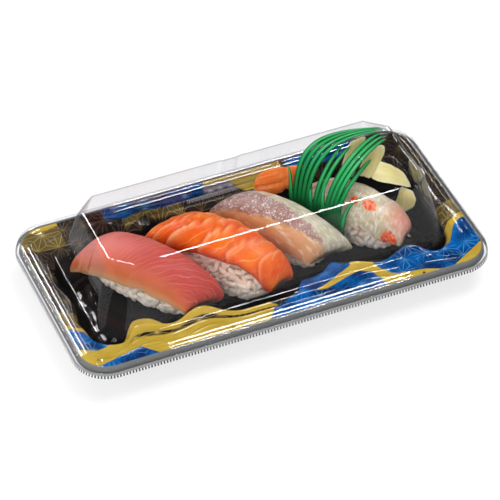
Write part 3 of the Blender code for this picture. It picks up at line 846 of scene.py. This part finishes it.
def make_lid_shell():
    counts = (150, 50, 16)
    shape = Shape()
    rows = []

    def add_row(ring, z):
        rows.append([shape.add((x, y, z)) for x, y, _ in ring.points(*counts)])

    add_row(inset(0.62), SKIRT_BOTTOM + 3.3)
    add_row(inset(0.95), SKIRT_BOTTOM + 4.6)
    add_row(inset(1.25), RIM_TOP - 0.9)
    for i in range(54):
        distance = 1.3 + 0.155 * i
        add_row(inset(distance), RIM_TOP - 0.36 + ridge(distance)
                - 0.3 * blend(1.9, 1.2, distance))
    points, run = dome_profile()
    low_z, high_z = points[0][1], HEIGHT
    cut = CEILING_CUT
    for offset, z in points:
        level = clamp((z - low_z) / (high_z - low_z))
        rise = blend(0.0, 1.0, level)
        half = (CEILING_HALF[0] - offset, CEILING_HALF[1] - offset)
        foot = Ring((CEILING_HALF[0] - offset, CEILING_HALF[1] + 0.3 - offset), FOOT_R)
        roof = Ring(half, 0.0, cut=(cut[0] - 0.3 * offset, cut[1] - 0.3 * offset))
        row = []
        share = clamp(-offset / run)
        for (x0, y0, side), (x1, y1, _) in zip(foot.points(*counts), roof.points(*counts)):
            x, y = mix(x1, x0, share), mix(y1, y0, share)
            height = z
            if z > RIM_TOP + 0.6:
                on = band(x) if side in (0, 2) else band(y)
                if side in (0, 2) and abs(x) < 60:
                    y -= math.copysign(GROOVE[1] * on * min(1.0, (z - RIM_TOP) / 4.0), y)
                if side in (1, 3) and abs(y) < 16:
                    x -= math.copysign(GROOVE[1] * on * min(1.0, (z - RIM_TOP) / 4.0), x)
                height -= GROOVE[1] * on * rise ** 6
            row.append(shape.add((x, y, height)))
        rows.append(row)
    edge = points[-1][0]
    depth = CEILING_HALF[1] - edge
    for inward in (0.08, 0.2, 0.35, 0.5, 0.65, 0.8, 0.93):
        half = (CEILING_HALF[0] - edge - depth * inward, CEILING_HALF[1] - edge - depth * inward)
        shrunk = tuple(c * (1.0 - 0.85 * inward) for c in cut)
        row = []
        for x, y, _ in Ring(half, 0.0, cut=shrunk).points(*counts):
            drop = GROOVE[1] * max(band(x), band(y))
            row.append(shape.add((x, y, HEIGHT - drop)))
        rows.append(row)
    shape.loft(rows)
    # the last ring is long and narrow: join its two long sides
    last = rows[-1]
    n_long, n_short, n_corner = counts
    front = last[:n_long + n_corner]
    right = last[n_long + n_corner:n_long + n_short + n_corner * 2]
    start = n_long + n_short + 2 * n_corner
    back = last[start:start + n_long + n_corner]
    left = last[start + n_long + n_corner:]
    for i in range(len(front) - 1):
        shape.faces.append((front[i], front[i + 1], back[len(back) - 2 - i], back[len(back) - 1 - i]))
    shape.faces.append((front[-1], *right, back[0]))
    shape.faces.append((back[-1], *left, front[0]))
    lid = shape.make("lid_shell", clear_look())
    thicken(lid, 0.3, -1.0)
    return settle(lid, "clear_lid", "lid")


def make_lid_skirt(material):
    """The lid's lower band, pressed into upright ribs."""
    counts = (800, 360, 110)
    shape = Shape()
    rows = []
    total = None
    for z_share, swell in ((0.0, 0.3), (0.08, 0.7), (0.16, 1.0), (0.32, 1.0), (0.44, 0.5),
                           (0.54, 0.0), (1.0, 0.0)):
        z = SKIRT_BOTTOM + 0.02 + 3.25 * z_share
        base = inset(0.15 + 0.45 * z_share).points(*counts)
        if total is None:
            total = ring_lengths(base)
        row = []
        for i, (x, y, _) in enumerate(base):
            x2, y2, _ = base[(i + 1) % len(base)]
            x0, y0, _ = base[i - 1]
            out = Vector((y2 - y0, x0 - x2)).normalized()
            rib = 0.5 - 0.5 * math.cos(2 * math.pi * total[i] / total[-1] * round(total[-1] / 1.6))
            push = -0.5 * swell * rib
            # rib also carries the skirt's painted light: 1 on a crest, 0 in a groove
            row.append(shape.add((x + out.x * push, y + out.y * push, z),
                                 rib=mix(0.42, 1.0 - rib, min(swell * 2.0, 1.0))))
        rows.append(row)
    shape.loft(rows)
    skirt = shape.make("lid_skirt", material)
    thicken(skirt, 0.25, -1.0)
    return settle(skirt, "clear_lid")


def ring_lengths(points):
    """Distance walked along a ring up to each point, with the whole length last."""
    out = [0.0]
    for (x0, y0, _), (x1, y1, _) in zip(points, points[1:] + points[:1]):
        out.append(out[-1] + math.hypot(x1 - x0, y1 - y0))
    return out


# ---------------------------------------------------------------- rice
class Rice:
    """A pressed block of rice: long, round-shouldered, flat below."""

    POWER_S = 0.62
    POWER_T = 0.78

    def __init__(self, centre, heading, half_length, half_width, top):
        self.centre = centre
        self.heading = math.radians(heading)
        self.half = (half_length, half_width)
        self.top = top

    def local(self, x, y):
        dx, dy = x - self.centre[0], y - self.centre[1]
        c, n = math.cos(self.heading), math.sin(self.heading)
        return dx * c + dy * n, -dx * n + dy * c

    def place(self, s, t, z):
        c, n = math.cos(self.heading), math.sin(self.heading)
        return Vector((self.centre[0] + s * c - t * n, self.centre[1] + s * n + t * c, z))

    def top_at(self, x, y, margin=1.0):
        s, t = self.local(x, y)
        left = 1.0 - abs(s / (self.half[0] + margin)) ** (2 / self.POWER_S)
        left -= abs(t / (self.half[1] + margin)) ** (2 / self.POWER_T)
        if left <= 0.0:
            return RICE_LEVEL
        return RICE_LEVEL + (self.top - RICE_LEVEL) * math.sqrt(left)

    def skin(self, d, inwards=0.0):
        """The block's surface in the direction d from its middle, moved inwards."""
        half_s, half_t = self.half[0] - inwards, self.half[1] - inwards
        top = self.top - inwards
        seed = Vector((self.centre[0], 0.0, 0.0))
        lump = 1.0 - 0.07 * abs(noise.noise(d * 2.6 + seed))
        s = math.copysign(abs(d.x) ** self.POWER_S, d.x) * half_s * lump
        t = math.copysign(abs(d.y) ** self.POWER_T, d.y) * half_t * lump
        if d.z >= 0.0:
            z = RICE_LEVEL + (top - RICE_LEVEL) * d.z * lump
        else:
            z = max(RICE_LEVEL + (RICE_LEVEL - FLOOR_TOP) * 1.3 * d.z, FLOOR_TOP + GAP + inwards)
        return self.place(s, t, z)


def sphere_directions(count):
    """Directions spread evenly over a ball."""
    golden = math.pi * (3.0 - math.sqrt(5.0))
    for i in range(count):
        z = 1.0 - 2.0 * (i + 0.5) / count
        r = math.sqrt(1.0 - z * z)
        yield Vector((r * math.cos(golden * i), r * math.sin(golden * i), z))


def grain_template(around=10, rings=7):
    """A unit grain along X: points, and faces between them."""
    points, faces = [(-1.0, 0.0, 0.0)], []
    for k in range(1, rings):
        angle = math.pi * k / rings
        x = -math.cos(angle)
        radius = math.sin(angle) ** 0.75
        for i in range(around):
            a = 2 * math.pi * i / around
            points.append((x, radius * math.cos(a), radius * math.sin(a)))
    points.append((1.0, 0.0, 0.0))
    last = len(points) - 1
    for i in range(around):
        j = (i + 1) % around
        faces.append((0, 1 + j, 1 + i))
        for k in range(rings - 2):
            a, b = 1 + k * around, 1 + (k + 1) * around
            faces.append((a + i, a + j, b + j, b + i))
        faces.append((last, last - around + i, last - around + j))
    return np.array(points), faces


def make_rice(name, rice, node, material, seed):
    """Grains laid over a smaller core."""
    rng = np.random.default_rng(seed)
    shape = Shape()
    rows = []
    around, rings = 40, 22
    for k in range(1, rings):
        angle = math.pi * k / rings
        row = []
        for i in range(around):
            a = 2 * math.pi * i / around
            d = Vector((math.sin(angle) * math.cos(a), math.sin(angle) * math.sin(a),
                        -math.cos(angle)))
            row.append(shape.add(rice.skin(d, 2.3), tone=0.0))
        rows.append(row)
    shape.loft(rows)
    shape.cap(rows[0], flip=True)
    shape.cap(rows[-1])

    spacing = 2.9
    kept, places = {}, []
    directions = list(sphere_directions(9000))
    for index in rng.permutation(len(directions)):
        d = directions[index]
        point = rice.skin(d)
        cell = tuple(int(math.floor(v / spacing)) for v in point)
        near = (kept.get((cell[0] + i, cell[1] + j, cell[2] + k))
                for i in (-1, 0, 1) for j in (-1, 0, 1) for k in (-1, 0, 1))
        if any(other is not None and (other - point).length < spacing for other in near):
            continue
        if point.z < FLOOR_TOP + GAP + 0.9:
            continue
        kept[cell] = point
        places.append((d, point))
    template, template_faces = grain_template()
    for d, point in places:
        step = 0.03
        side = d.cross(Vector((0.0, 0.0, 1.0))) if abs(d.z) < 0.95 else Vector((1.0, 0.0, 0.0))
        side.normalize()
        up = side.cross(d).normalized()
        a = rice.skin((d + side * step).normalized()) - rice.skin((d - side * step).normalized())
        b = rice.skin((d + up * step).normalized()) - rice.skin((d - up * step).normalized())
        normal = a.cross(b)
        if normal.length < 1e-9:
            continue
        normal.normalize()
        middle = rice.place(0.0, 0.0, RICE_LEVEL)
        if normal.dot(point - middle) < 0:
            normal.negate()
        heading = rng.uniform(0, 2 * math.pi)
        tangent = a.normalized()
        other = normal.cross(tangent)
        axis = tangent * math.cos(heading) + other * math.sin(heading)
        axis = (axis + normal * rng.uniform(-0.25, 0.25)).normalized()
        cross = normal.cross(axis).normalized()
        out = axis.cross(cross)
        half_length, half_width = rng.uniform(2.4, 3.2), rng.uniform(1.45, 1.75)
        tone = rng.uniform(0.0, 1.0)
        flat = rng.uniform(0.85, 1.0)
        centre = point - normal * (half_width * rng.uniform(0.45, 1.0))
        bow = rng.uniform(-0.12, 0.12)
        first = len(shape.points)
        for u, v, w in template:
            p = (centre + axis * (u * half_length)
                 + cross * (v * half_width + bow * half_length * (u * u - 0.4))
                 + out * (w * half_width * flat))
            shape.add((p.x, p.y, max(p.z, FLOOR_TOP + 0.1)), tone=tone)
        shape.faces += [tuple(first + i for i in face) for face in template_faces]
    piece = shape.make(name, material)
    outward(piece)
    return settle(piece, "rice", node)


# ---------------------------------------------------------------- slabs
class Slab:
    """A slab draped along a block of rice; see point() for its coordinates."""

    THETA = math.radians(80.0)
    ARCH_POWER = 0.6

    def __init__(self, rice, centre, heading, half, top, widths, bends, skews, hang, thick):
        self.rice = rice
        self.centre = centre
        self.heading = math.radians(heading)
        self.half = half
        self.top = top
        self.widths = widths
        self.bends = bends
        self.skews = skews
        self.hang = tuple(math.radians(angle) for angle in hang)
        self.thick = thick

    def place(self, s, t, z):
        c, n = math.cos(self.heading), math.sin(self.heading)
        return Vector((self.centre[0] + s * c - t * n, self.centre[1] + s * n + t * c, z))

    @staticmethod
    def along(values, u):
        back, middle, front = values
        return middle + (front - back) / 2 * u + ((front + back) / 2 - middle) * u * u

    def point(self, u, v, out, wide=0.0):
        """u runs from back to front and v from left to right, -1 to 1; out is height over the
        underside, wide is added to the half width."""
        theta = u * self.THETA
        phi = v * (self.hang[0] if v < 0 else self.hang[1])
        t = self.along(self.bends, u)
        t += (self.along(self.widths, u) + out + wide) * math.sin(phi)
        s = (self.half + out * abs(u)) * math.sin(theta) / math.sin(self.THETA)
        s += (self.skews[0] * max(-u, 0.0) + self.skews[1] * max(u, 0.0)) * t
        arch = (self.top - RICE_LEVEL + out) * math.cos(theta) ** self.ARCH_POWER * math.cos(phi)
        p = self.place(s, t, RICE_LEVEL + arch)
        p.z = max(p.z, self.rice.top_at(p.x, p.y) + GAP + out)
        return p

    def span(self, u, v):
        """Distances along and across the slab in millimetres."""
        return u * self.half, v * self.along(self.widths, u) * 1.3


def make_slab(name, slab, node, slot, material, relief, edge, extra=None, tatter=0.01,
              steps=130, around=96):
    """A slab with rounded edges.

    relief(u, v) raises the upper face in mm, edge(u, v) widens the outline, extra(u, v) gives
    more values for the material, and tatter makes its ends uneven.
    """
    shape = Shape()
    rows = []
    for i in range(steps + 1):
        u0 = 2.0 * i / steps - 1.0
        u = math.copysign(1.0 - (1.0 - abs(u0)) ** 1.25, u0)
        end = (1.0 - abs(u) ** 14) ** 0.5 * 0.97 + 0.03
        row = []
        for k in range(around):
            a = 2 * math.pi * k / around
            c, n = math.cos(a), math.sin(a)
            v = math.copysign(abs(c) ** 0.55, c) * (0.86 + 0.14 * end)
            lift = math.copysign(abs(n) ** 0.55, n)
            taper = 1.0 - 0.35 * v ** 4 - 0.25 * u ** 4
            thick = slab.thick * taper * end
            out = slab.thick * taper * 0.5 * (1.0 - end) + thick * (0.5 + 0.5 * lift)
            if lift > 0:
                out += relief(u, v) * lift * end
            wide = edge(u, v) * abs(v) ** 3
            torn = tatter * blend(0.7, 1.0, abs(u)) * wobble(v * 5.0, 4.0 * (u > 0), seed=3.0)
            p = slab.point(u + math.copysign(torn, u), v, max(out, 0.0), wide)
            along, across = slab.span(u, v)
            low = clamp(-v)
            values = {"along": along, "across": across, "low": low}
            if extra:
                values.update(extra(u, v))
            row.append(shape.add(p, **values))
        rows.append(row)
    shape.loft(rows)
    shape.cap(rows[0], flip=True)
    shape.cap(rows[-1])
    piece = shape.make(name, material)
    outward(piece)
    return settle(piece, slot, node)


def nigiri():
    """Blocks of rice and slabs, as constructed."""
    tuna_rice = Rice((-52.2, 4.8), -54.0, 30.0, 13.0, 22.6)
    salmon_rice = Rice((-14.5, 0.0), -57.0, 27.0, 13.0, 22.0)
    bream_rice = Rice((20.5, 9.5), -60.0, 25.0, 11.3, 23.0)
    shrimp_rice = Rice((59.5, 6.0), -50.0, 25.0, 12.6, 21.5)
    return {
        "tuna": (tuna_rice, Slab(tuna_rice, (-52.2, 4.0), -56.0, 32.8, 25.8, (13.2, 12.3, 8.0),
                                 (-4.0, 0.6, -3.5), (0.15, 0.5), (76.0, 84.0), 4.6)),
        "salmon": (salmon_rice, Slab(salmon_rice, (-13.8, 3.2), -57.0, 33.5, 25.8,
                                     (12.5, 13.0, 6.0), (-2.0, 2.0, -0.5), (0.4, 0.2),
                                     (74.0, 84.0), 4.6)),
        "bream": (bream_rice, Slab(bream_rice, (20.5, 10.0), -60.0, 29.0, 26.6,
                                   (10.0, 11.3, 11.0), (-1.6, 0.0, 0.0), (0.6, 0.4),
                                   (80.0, 84.0), 3.2)),
        "shrimp": (shrimp_rice, Slab(shrimp_rice, (59.5, 6.0), -47.0, 28.0, 23.8,
                                     (8.0, 12.4, 4.0), (4.5, 1.5, -5.0), (0.6, 0.0),
                                     (78.0, 84.0), 3.8)),
    }


def tuna_relief(u, v):
    grain = 0.10 * math.sin(9.0 * v + 14.0 * u + 1.5 * wobble(u * 4, v * 2, seed=1.0))
    return grain + 0.25 * wobble(u * 3.0, v * 2.5, seed=2.0)


def crease(d, width):
    """A layer's edge: a steep rise at 0 that falls away slowly behind it."""
    return blend(-0.05, 0.02, d) * math.exp(-max(d, 0.0) / width)


SALMON_FOLDS = ((-0.72, 0.15, 0.10, 0.9), (-0.50, 0.22, 0.12, 1.3), (-0.24, 0.30, 0.16, 1.8),
                (0.04, 0.20, 0.12, 1.2), (0.30, 0.10, 0.12, 0.8), (0.58, -0.15, 0.08, 0.7))


def salmon_folds(u, v, sharp=1.0):
    """Layers across the slab: (place along it, slant, width, height)."""
    bend = 0.06 * math.sin(4.0 * v) + 0.04 * wobble(u * 3.0, v * 3.0, seed=5.0)
    return sum(h * crease(u - slant * v - bend - at, w * sharp)
               for at, slant, w, h in SALMON_FOLDS)


def salmon_dips(u, v):
    """1 in the creases just behind the layers' edges, 0 away from them."""
    bend = 0.06 * math.sin(4.0 * v) + 0.04 * wobble(u * 3.0, v * 3.0, seed=5.0)
    return max(min(h, 1.0) * hill(u - slant * v - bend - at, -0.035, 0.022)
               for at, slant, _, h in SALMON_FOLDS)


def salmon_relief(u, v):
    fade = blend(1.0, 0.7, abs(v)) * 0.6 + 0.4
    return fade * salmon_folds(u, v) + 0.3 * wobble(u * 4.0, v * 3.0, seed=4.0) - 0.9


def bream_relief(u, v):
    return 0.25 * wobble(u * 5.0, v * 3.0, seed=6.0) + 0.25 * hill(v, 0.35, 0.12)


def shrimp_relief(u, v):
    rings = 0.12 * math.sin(16.0 * u + 2.0 * v * v)
    lumps = 0.7 * wobble(u * 3.2, v * 2.4, seed=8.0) + 0.5 * wobble(u * 8.0, v * 6.0, seed=9.0)
    return rings - 0.6 * hill(v, 0.02, 0.08) * blend(0.9, 0.2, abs(u)) + lumps


def shrimp_marks(u, v):
    """Red-orange patches: one near the front right, one half way along, small ones behind."""
    marks = ((0.64, -0.85, 0.15, 0.24), (0.24, -0.22, 0.10, 0.15), (0.02, -0.26, 0.06, 0.12))
    value = 0.0
    for mu, mv, du, dv in marks:
        far = math.hypot((u - mu) / du, (v - mv) / dv)
        value = max(value, clamp(1.0 - 0.5 * far))
    return {"mark": value}


def ragged(size, strength, seed):
    return lambda u, v: strength * wobble(u * size, (v > 0) * 5.0, seed=seed)


def make_tail(material):
    """The tail fan: two lobes beside a crease, with the last joint of the body behind them."""
    root, tip = Vector((41.0, 29.5, 27.0)), Vector((15.5, 32.6, 25.0))
    axis = tip - root
    across = Vector((0.10, 0.22, 0.97)).normalized()
    lift = across.cross(axis).normalized()
    steps, around = 60, 72
    shape = Shape()
    rows = []
    for i in range(steps + 1):
        u = i / steps
        half = 5.0 + 2.4 * math.sin(2.6 * u) - 0.9 * hill(u, 0.36, 0.06)
        half *= math.sqrt(max(1.0 - max(u - 0.82, 0.0) ** 2 / 0.0333, 0.0)) * 0.98 + 0.02
        row = []
        for k in range(around):
            a = 2 * math.pi * k / around
            c, n = math.cos(a), math.sin(a)
            v = math.copysign(abs(c) ** 0.7, c)
            side = math.copysign(abs(n) ** 0.7, n)
            thick = (2.2 * (1.0 - 0.6 * v * v) * (1.0 - 0.4 * u) + 0.4) * (1.0 - 0.6 * u ** 10)
            groove = 0.9 * blend(0.3, 0.5, u) * math.exp(-(v * 4.5) ** 2)
            groove += 0.5 * hill(u, 0.36, 0.04)
            ribs = 0.14 * math.sin(20.0 * v + 2.0 * u) * blend(0.35, 0.6, u)
            notch = 1.0 - 0.16 * u ** 3 * math.exp(-(v * 3.5) ** 2) + 0.03 * wobble(v * 4.0, u)
            middle = root + axis * u * notch + across * half * v
            p = middle + lift * (side * (thick + ribs) - groove)
            row.append(shape.add(p, along=u * 25.0, across=half * v))
        rows.append(row)
    shape.loft(rows)
    shape.cap(rows[0], flip=True)
    shape.cap(rows[-1])
    tail = shape.make("tail_fan", material)
    outward(tail)
    return settle(tail, "shrimp_tail", "shrimp_tail")


# ---------------------------------------------------------------- divider
DIVIDER_FOOT = (33.5, 17.8)
DIVIDER_HEADING = math.radians(-60.0)
BLADES = (
    (6.0, -14.0, 36.5, 0.0),
    (42.0, 19.5, 51.0, 1.0), (42.4, 20.8, 50.9, 0.85), (42.4, 22.2, 50.8, 0.7),
    (42.0, 23.5, 50.6, 0.55),
    (4.0, 5.0, 33.0, 0.0),
    (26.0, 8.5, 45.0, 0.0), (28.0, 11.5, 44.0, 0.0),
    (4.5, 13.5, 35.0, 0.0),
    (40.0, 21.5, 49.5, 0.0), (40.0, 23.5, 48.8, 0.0), (39.5, 25.0, 47.8, 0.0),
    (30.0, 23.0, 40.0, 0.0),
    (13.0, 30.5, 30.0, 0.0),
)
BLADE_PITCH = 2.45
FIRST_BLADE = -6.0
NOTCH_HEIGHTS = (20.5, 28.5)
LAST_NOTCH = 17.5


def blade_root(index):
    if index >= len(BLADES) - 1:
        return LAST_NOTCH
    return mix(*NOTCH_HEIGHTS, index / (len(BLADES) - 2))


def divider_point(out, along, height):
    c, n = math.cos(DIVIDER_HEADING), math.sin(DIVIDER_HEADING)
    return Vector((DIVIDER_FOOT[0] + along * c - out * n,
                   DIVIDER_FOOT[1] + along * n + out * c, height))


def blade_centre(index, t):
    out, along, height, bow = BLADES[index]
    start = FIRST_BLADE + (index + 0.5) * BLADE_PITCH
    root = blade_root(index)
    lean = mix(mix(t, t * t * (3.0 - 2.0 * t), 0.5), t ** 1.5, bow)
    drift = mix(start, along, t ** (2.2 + 0.9 * bow)) - math.sin(math.pi * t)
    return out * lean, drift, mix(root, height, 1.0 - (1.0 - t) ** (2.2 + 1.8 * bow))


def make_divider(material):
    """A stamped plastic leaf: a foot strip, and blades cut into its upper part."""
    shape = Shape()
    lanes = 7                     # points across a blade
    count, steps = len(BLADES), 34
    for index in range(count):
        root = blade_root(index)
        short = 1.0 if BLADES[index][0] < 15.0 else 0.0
        rows = []
        for height in np.linspace(FLOOR_TOP + GAP, root, 8):
            row = []
            for lane in range(lanes):
                share = lane / (lanes - 1)
                along = FIRST_BLADE + (index + share) * BLADE_PITCH
                notch = min(blade_root(max(index - 1, 0)) if share < 0.5
                            else blade_root(min(index + 1, count - 1)), root)
                top = mix(root, min(notch, root), abs(2 * share - 1) ** 4)
                z = FLOOR_TOP + GAP + (height - FLOOR_TOP - GAP) * (top - FLOOR_TOP - GAP) / (
                    root - FLOOR_TOP - GAP)
                rise = 0.35 * (z - FLOOR_TOP) / root
                row.append(shape.add(divider_point(0.0, along, z), rise=rise,
                                     across=(2 * share - 1) * clamp((z - 3.0) / 4.0),
                                     blade=float(index), short=short))
            rows.append(row)
        for step in range(1, steps + 1):
            t = step / steps
            out, along, height = blade_centre(index, t)
            reach = BLADES[index][0]
            taper = mix(1.0 - t ** 1.3, (1.0 - 0.1 * t) * (1.0 - t ** 8), clamp(reach / 20.0 - 0.6))
            half = BLADE_PITCH / 2 * 1.08 * taper + 0.02
            keel = 0.32 * blend(0.0, 0.2, t) * (1.0 - t)
            row = []
            for lane in range(lanes):
                side = 2 * lane / (lanes - 1) - 1
                p = divider_point(out - keel * side * side, along + side * half,
                                  height + 0.5 * keel * (1.0 - side * side))
                row.append(shape.add(p, rise=0.35 + 0.65 * t, across=side, blade=float(index),
                                     short=short))
            rows.append(row)
        shape.loft(rows, closed=False)
    leaf = shape.make("leaf_blades", material)
    weld(leaf)
    thicken(leaf, 0.3, 0.0)
    return settle(leaf, "leaf_divider", "divider")


def weld(piece, distance=0.02):
    import bmesh
    bm = bmesh.new()
    bm.from_mesh(piece.data)
    bmesh.ops.remove_doubles(bm, verts=bm.verts, dist=distance * MM)
    bm.to_mesh(piece.data)
    bm.free()


# ---------------------------------------------------------------- ginger
GINGER = (
    ((65.0, 21.2, 37.2), (4.6, 2.5, 9.3), (3.8, -1.6, -0.6), 1.2),
    ((72.5, 15.2, 35.8), (5.2, 1.4, 7.6), (3.6, -2.0, -0.6), 1.0),
    ((81.2, 12.6, 25.5), (9.4, -3.6, -3.1), (1.4, 6.8, 1.0), 1.4),
    ((86.0, 3.2, 15.3), (2.6, 1.5, 5.2), (3.4, -3.4, -0.5), 1.0),
)
GINGER_SHEET = 1.6
GINGER_BLUNT = 0.72              # 1 is an ellipse, less is squarer


def make_ginger(index, material):
    middle, long_axis, cross_axis = (Vector(v) for v in GINGER[index][:3])
    bow = GINGER[index][3]
    normal = long_axis.cross(cross_axis).normalized()
    rings, segments = 18, 72
    shape = Shape()

    def point(r, a, side):
        ripple = 1.0 + 0.07 * math.sin(3 * a + index) + 0.04 * math.sin(5 * a + 2 * index)
        ripple += 0.015 * math.sin(17 * a + index)
        x = r * ripple * math.copysign(abs(math.cos(a)) ** GINGER_BLUNT, math.cos(a))
        y = r * ripple * math.copysign(abs(math.sin(a)) ** GINGER_BLUNT, math.sin(a))
        sag = bow * (y * y - 0.4 * x * x) + 0.4 * math.sin(3 * x + index)
        sag += 0.12 * math.sin(9 * y + 3 * x) * (1.0 - r ** 6)
        thick = GINGER_SHEET * (1.0 - 0.5 * r ** 4) * math.sqrt(max(1.0 - r ** 10, 0.0))
        p = middle + long_axis * x + cross_axis * y + normal * (sag + side * thick * 0.85)
        return p, {"along": x * long_axis.length, "across": y * cross_axis.length, "edge": r}

    layers = []
    for side in (0.5, -0.5):
        p, values = point(0.0, 0.0, side)
        hub = shape.add(p, **values)
        rows = []
        for k in range(1, rings + 1):
            row = []
            for i in range(segments):
                p, values = point((k / rings) ** 0.8, 2 * math.pi * i / segments, side)
                row.append(shape.add(p, **values))
            rows.append(row)
        for i in range(segments):
            shape.faces.append((hub, rows[0][i], rows[0][(i + 1) % segments]))
        shape.loft(rows)
        layers.append(rows[-1])
    shape.bridge(layers[0], layers[1])
    piece = shape.make("ginger_slice_%d" % (index + 1), material)
    weld(piece, 0.005)
    outward(piece)
    return settle(piece, "ginger", "ginger_%d" % (index + 1))


# ---------------------------------------------------------------- stage, light, camera
def make_stage():
    shape = Shape()
    half = 1500.0
    corners = [shape.add((sx * half, sy * half, 0.0))
               for sx, sy in ((-1, -1), (1, -1), (1, 1), (-1, 1))]
    shape.faces.append(tuple(corners))
    look = Look("pale_floor")
    floor = shape.make("floor", look.finish(
        Base_Color=(0.28, 0.28, 0.283), Roughness=0.7, Specular_IOR_Level=0.1,
        Emission_Color=(1.0, 1.0, 1.0), Emission_Strength=0.72))


def area_light(name, direction, distance, size, glow, diffuse=True, glossy=True):
    """A rectangular soft light; glow is the brightness of its face.

    Its first size runs level and its second upright.  diffuse and glossy say what it reaches.
    """
    light = bpy.data.lights.new(name, "AREA")
    light.shape = "RECTANGLE"
    light.size, light.size_y = size
    light.energy = glow * math.pi * size[0] * size[1]
    lamp = bpy.data.objects.new(name, light)
    target = Vector((0.0, 0.0, 0.02))
    way = Vector(direction).normalized()
    across = (Vector((1.0, 0.0, 0.0)) - way * way.x).normalized()
    lamp.location = target + way * distance
    lamp.rotation_euler = Matrix((across, way.cross(across), way)).transposed().to_euler()
    lamp.visible_diffuse = diffuse
    lamp.visible_glossy = glossy
    bpy.context.scene.collection.objects.link(lamp)


def make_lights():
    area_light("key", (0.36, 0.12, 0.93), 1.05, (0.7, 0.7), 6.6, glossy=False)
    area_light("fill_back", (-0.34, 0.68, 0.65), 1.05, (0.5, 0.5), 3.6, glossy=False)
    area_light("fill_front", (-0.55, -0.70, 0.45), 1.2, (1.0, 0.8), 3.4, glossy=False)
    area_light("fill_left", (-0.93, 0.05, 0.36), 1.1, (0.8, 0.6), 2.4, glossy=False)
    area_light("strip_key", (0.30, 0.12, 0.95), 0.95, (0.2, 0.34), 50.0, diffuse=False)
    area_light("strip_corner", (-0.13, 0.27, 0.955), 0.95, (0.12, 0.12), 40.0, diffuse=False)
    area_light("strip_left", (-0.31, 0.68, 0.66), 0.95, (0.2, 0.3), 50.0, diffuse=False)
    area_light("strip_right", (0.60, 0.68, 0.42), 0.95, (0.2, 0.2), 15.0, diffuse=False)
    world = bpy.data.worlds.new("pale_studio")
    world.use_nodes = True
    tree = world.node_tree
    sky = tree.nodes["Background"]
    sky.inputs["Color"].default_value = (0.97, 0.98, 1.0, 1.0)
    way = tree.nodes.new("ShaderNodeTexCoord")
    toward = tree.nodes.new("ShaderNodeVectorMath")
    toward.operation = "DOT_PRODUCT"
    toward.inputs[1].default_value = (0.29, 0.678, 0.676)
    shade = tree.nodes.new("ShaderNodeMapRange")
    shade.interpolation_type = "SMOOTHSTEP"
    shade.inputs["From Min"].default_value = 0.35
    shade.inputs["From Max"].default_value = 0.85
    shade.inputs["To Min"].default_value = 0.3
    shade.inputs["To Max"].default_value = 0.03
    tree.links.new(way.outputs["Generated"], toward.inputs[0])
    tree.links.new(toward.outputs["Value"], shade.inputs["Value"])
    tree.links.new(shade.outputs[0], sky.inputs["Strength"])
    bpy.context.scene.world = world
    bpy.context.scene.view_settings.view_transform = "Standard"


def make_camera():
    azimuth, elevation, distance = math.radians(-23.154), math.radians(42.5), 1.4921
    back = Vector((math.sin(azimuth) * math.cos(elevation),
                   -math.cos(azimuth) * math.cos(elevation), math.sin(elevation)))
    lens = bpy.data.cameras.new("camera")
    lens.lens = 215.5
    lens.sensor_width = 36.0
    lens.shift_x = -0.0032
    lens.shift_y = 0.0041
    camera = bpy.data.objects.new("camera", lens)
    camera.location = Vector((0.0, 0.0, SKIRT_BOTTOM * MM)) + back * distance
    camera.rotation_euler = back.to_track_quat("Z", "Y").to_euler()
    bpy.context.scene.collection.objects.link(camera)
    bpy.context.scene.camera = camera


# ---------------------------------------------------------------- assembly
def main():
    make_camera()
    make_stage()
    make_lights()
    make_tray()
    make_lid_shell()
    make_lid_skirt(ribbed_look())
    rice_material = rice_look()
    flesh = {
        "tuna": (tuna_look(), tuna_relief, ragged(5.0, 0.7, 1.0), None),
        "salmon": (salmon_look(), salmon_relief, ragged(6.0, 0.8, 2.0),
                   lambda u, v: {"fold": clamp(salmon_folds(u, v, 0.2)), "dip": salmon_dips(u, v)}),
        "bream": (bream_look(), bream_relief, ragged(9.0, 1.0, 3.0), None),
        "shrimp": (shrimp_look(), shrimp_relief, ragged(8.0, 1.2, 4.0), shrimp_marks),
    }
    for seed, (name, (rice, slab)) in enumerate(nigiri().items()):
        material, relief, edge, extra = flesh[name]
        make_rice(name + "_grains", rice, name + "_rice", rice_material, seed)
        make_slab(name + "_slab", slab, name + "_slice", name, material, relief, edge, extra,
                  0.06 if name == "bream" else 0.015)
    make_tail(tail_look())
    make_divider(leaf_look())
    ginger_material = ginger_look()
    for index in range(len(GINGER)):
        make_ginger(index, ginger_material)


main()
